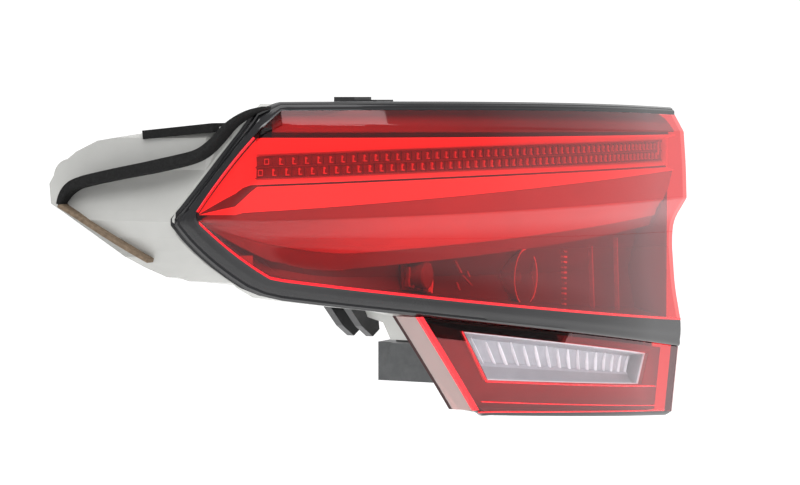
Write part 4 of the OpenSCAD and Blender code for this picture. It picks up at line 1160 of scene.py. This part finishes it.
def flange(points, w, t=5.0):
    """Foam on the flange: points hold (x, y, z, out x, out z)."""
    rings = []
    for x, y, z, ox, oz in points:
        e = 0.6
        rings.append([(x + ox * a, y + b, z + oz * a) for a, b in ((0, 0), (w, 0), (w, t - e), (w - e, t), (e, t), (0, t - e))])
    gk.sweep(rings)


ring_top = [at(s, z_top(s) - 1.6, 18) + [0, 8.05, 0] for s in lin(24, 392, 60)]
flange([(p[0], p[1], p[2], 0, -1) for p in ring_top], 7.0)
ring_low = [at(s, z_low(s) + 2.6, 18) + [0, 8.05, 0] for s in lin(392, 352, 8)]
flange([(p[0], p[1], p[2], 0, 1) for p in ring_low], 7.0)
ring_foot = [at(s, z_bottom(s) + 3.0, 18) + [0, 8.05, 0] for s in lin(262, 24, 40)]
flange([(p[0], p[1], p[2], 0, 1) for p in ring_foot], 7.0)
pa, pb = ring_low[-1], ring_foot[0]
flange([(mix(pa[0], pb[0], k) + 1.5, mix(pa[1], pb[1], k), mix(pa[2] + 7, pb[2], k), 1, 0.0) for k in lin(0, 1, 12)], 7.0)
build("body_gasket_foam", gk.v, gk.f, [FOAM, FOAM_SHADOW], gk.m, sharp=35, node="body_gasket")

# ---------------------------------------------------------------- CAD nodes that stay
PLAIN = {
    "housing": GREY, "strip_board": BOARD, "strip_leds": LED, "signal_socket_seal": SEAL, "reverse_socket_seal": SEAL,
    "foam_pad": FOAM, "top_clip": CLIP, "lower_clip": CLIP, "locating_pins": IVORY, "bolt_bushings": STEEL, "main_connector": CONN,
    "connector_terminals": TIN, "heat_sink": ALLOY, "driver_cover": CLIP, "cover_screws": STEEL, "vent_caps": SEAL,
}
for n, m in PLAIN.items():
    ob = NODES[n]
    ob.data.materials.clear()
    ob.data.materials.append(m)

# ---------------------------------------------------------------- camera, floor, light
cam_data = bpy.data.cameras.new("photo_camera")
cam_data.sensor_width = 36.0
cam_data.lens = 2633.92 * 36.0 / 800.0
cam_data.clip_start = 0.05
cam_data.clip_end = 60.0
cam = bpy.data.objects.new("photo_camera", cam_data)
bpy.context.scene.collection.objects.link(cam)
AZ, EL = rad(-63.92), rad(3.101)
away = Vector((math.sin(AZ) * math.cos(EL), -math.cos(AZ) * math.cos(EL), math.sin(EL)))
cam.location = (-1.865584, -0.709451, 0.0371)
cam.rotation_euler = away.to_track_quat("Z", "Y").to_euler()
bpy.context.scene.camera = cam

floor_me = bpy.data.meshes.new("floor")
fv, ff = [], []
N = 24
for i in range(N + 1):
    for j in range(N + 1):
        fv.append((-12 + 24 * i / N, -12 + 24 * j / N, -0.52))
for i in range(N):
    for j in range(N):
        a = i * (N + 1) + j
        ff.append((a, a + N + 1, a + N + 2, a + 1))
floor_me.from_pydata(fv, [], ff)
FLOOR = solid("floor_pale", (0.965, 0.965, 0.96), rough=0.8, var=0.01, scale=0.8, bump=0.0, spec=0.1)
FB = [n for n in FLOOR.node_tree.nodes if n.type == "BSDF_PRINCIPLED"][0]
FB.inputs["Emission Color"].default_value = (1.0, 1.0, 1.0, 1.0)
FB.inputs["Emission Strength"].default_value = 0.45
floor_me.materials.append(FLOOR)
floor = bpy.data.objects.new("floor", floor_me)
bpy.context.scene.collection.objects.link(floor)


def area(name, loc, aim, sx, sy, power, color=(1, 1, 1)):
    d = bpy.data.lights.new(name, "AREA")
    d.shape = "RECTANGLE"
    d.size, d.size_y = sx, sy
    d.energy = power
    d.color = color
    o = bpy.data.objects.new(name, d)
    o.location = loc
    o.rotation_euler = (Vector(loc) - Vector(aim)).to_track_quat("Z", "Y").to_euler()
    bpy.context.scene.collection.objects.link(o)
    return o


MID = (-0.22, 0.05, -0.03)
area("softbox_top", (-0.62, -0.26, 1.17), (-0.62, -0.26, 0.0), 1.50, 1.50, 19)
area("softbox_side", (-2.15, -0.45, 1.60), MID, 1.1, 1.1, 26)
area("softbox_key", (-1.1, -1.9, 1.3), MID, 1.6, 0.9, 16)

world = bpy.data.worlds.new("studio")
bpy.context.scene.world = world
world.use_nodes = True
wn, wl = world.node_tree.nodes, world.node_tree.links
wn.clear()
wo = wn.new("ShaderNodeOutputWorld")
bg = wn.new("ShaderNodeBackground")
tc = wn.new("ShaderNodeTexCoord")
dp = wn.new("ShaderNodeVectorMath")
dp.operation = "DOT_PRODUCT"
dp.inputs[1].default_value = (away.x, away.y, 0.0)  # 1 towards the camera, -1 behind the lamp
wl.new(tc.outputs["Generated"], dp.inputs[0])
rp = wn.new("ShaderNodeValToRGB")
rp.color_ramp.elements[0].position = 0.12
rp.color_ramp.elements[0].color = (1.0, 1.0, 1.0, 1)
rp.color_ramp.elements[1].position = 0.36
rp.color_ramp.elements[1].color = (0.50, 0.50, 0.51, 1)
mp = wn.new("ShaderNodeMapRange")
mp.inputs["From Min"].default_value = -1.0
mp.inputs["From Max"].default_value = 1.0
wl.new(dp.outputs["Value"], mp.inputs["Value"])
sz = wn.new("ShaderNodeSeparateXYZ")
wl.new(tc.outputs["Generated"], sz.inputs["Vector"])
mz = wn.new("ShaderNodeMapRange")
mz.inputs["From Min"].default_value = 0.015
mz.inputs["From Max"].default_value = 0.10
wl.new(sz.outputs["Z"], mz.inputs["Value"])
mm = wn.new("ShaderNodeMath")
mm.operation = "MULTIPLY"
wl.new(mp.outputs["Result"], mm.inputs[0])
wl.new(mz.outputs["Result"], mm.inputs[1])
wl.new(mm.outputs[0], rp.inputs["Fac"])
wl.new(rp.outputs["Color"], bg.inputs["Color"])
bg.inputs["Strength"].default_value = 1.12
wl.new(bg.outputs["Background"], wo.inputs["Surface"])

scene = bpy.context.scene
scene.view_settings.view_transform = "Standard"
scene.view_settings.look = "None"
scene.cycles.max_bounces = 10
scene.cycles.transparent_max_bounces = 24
scene.cycles.diffuse_bounces = 5
scene.cycles.glossy_bounces = 5
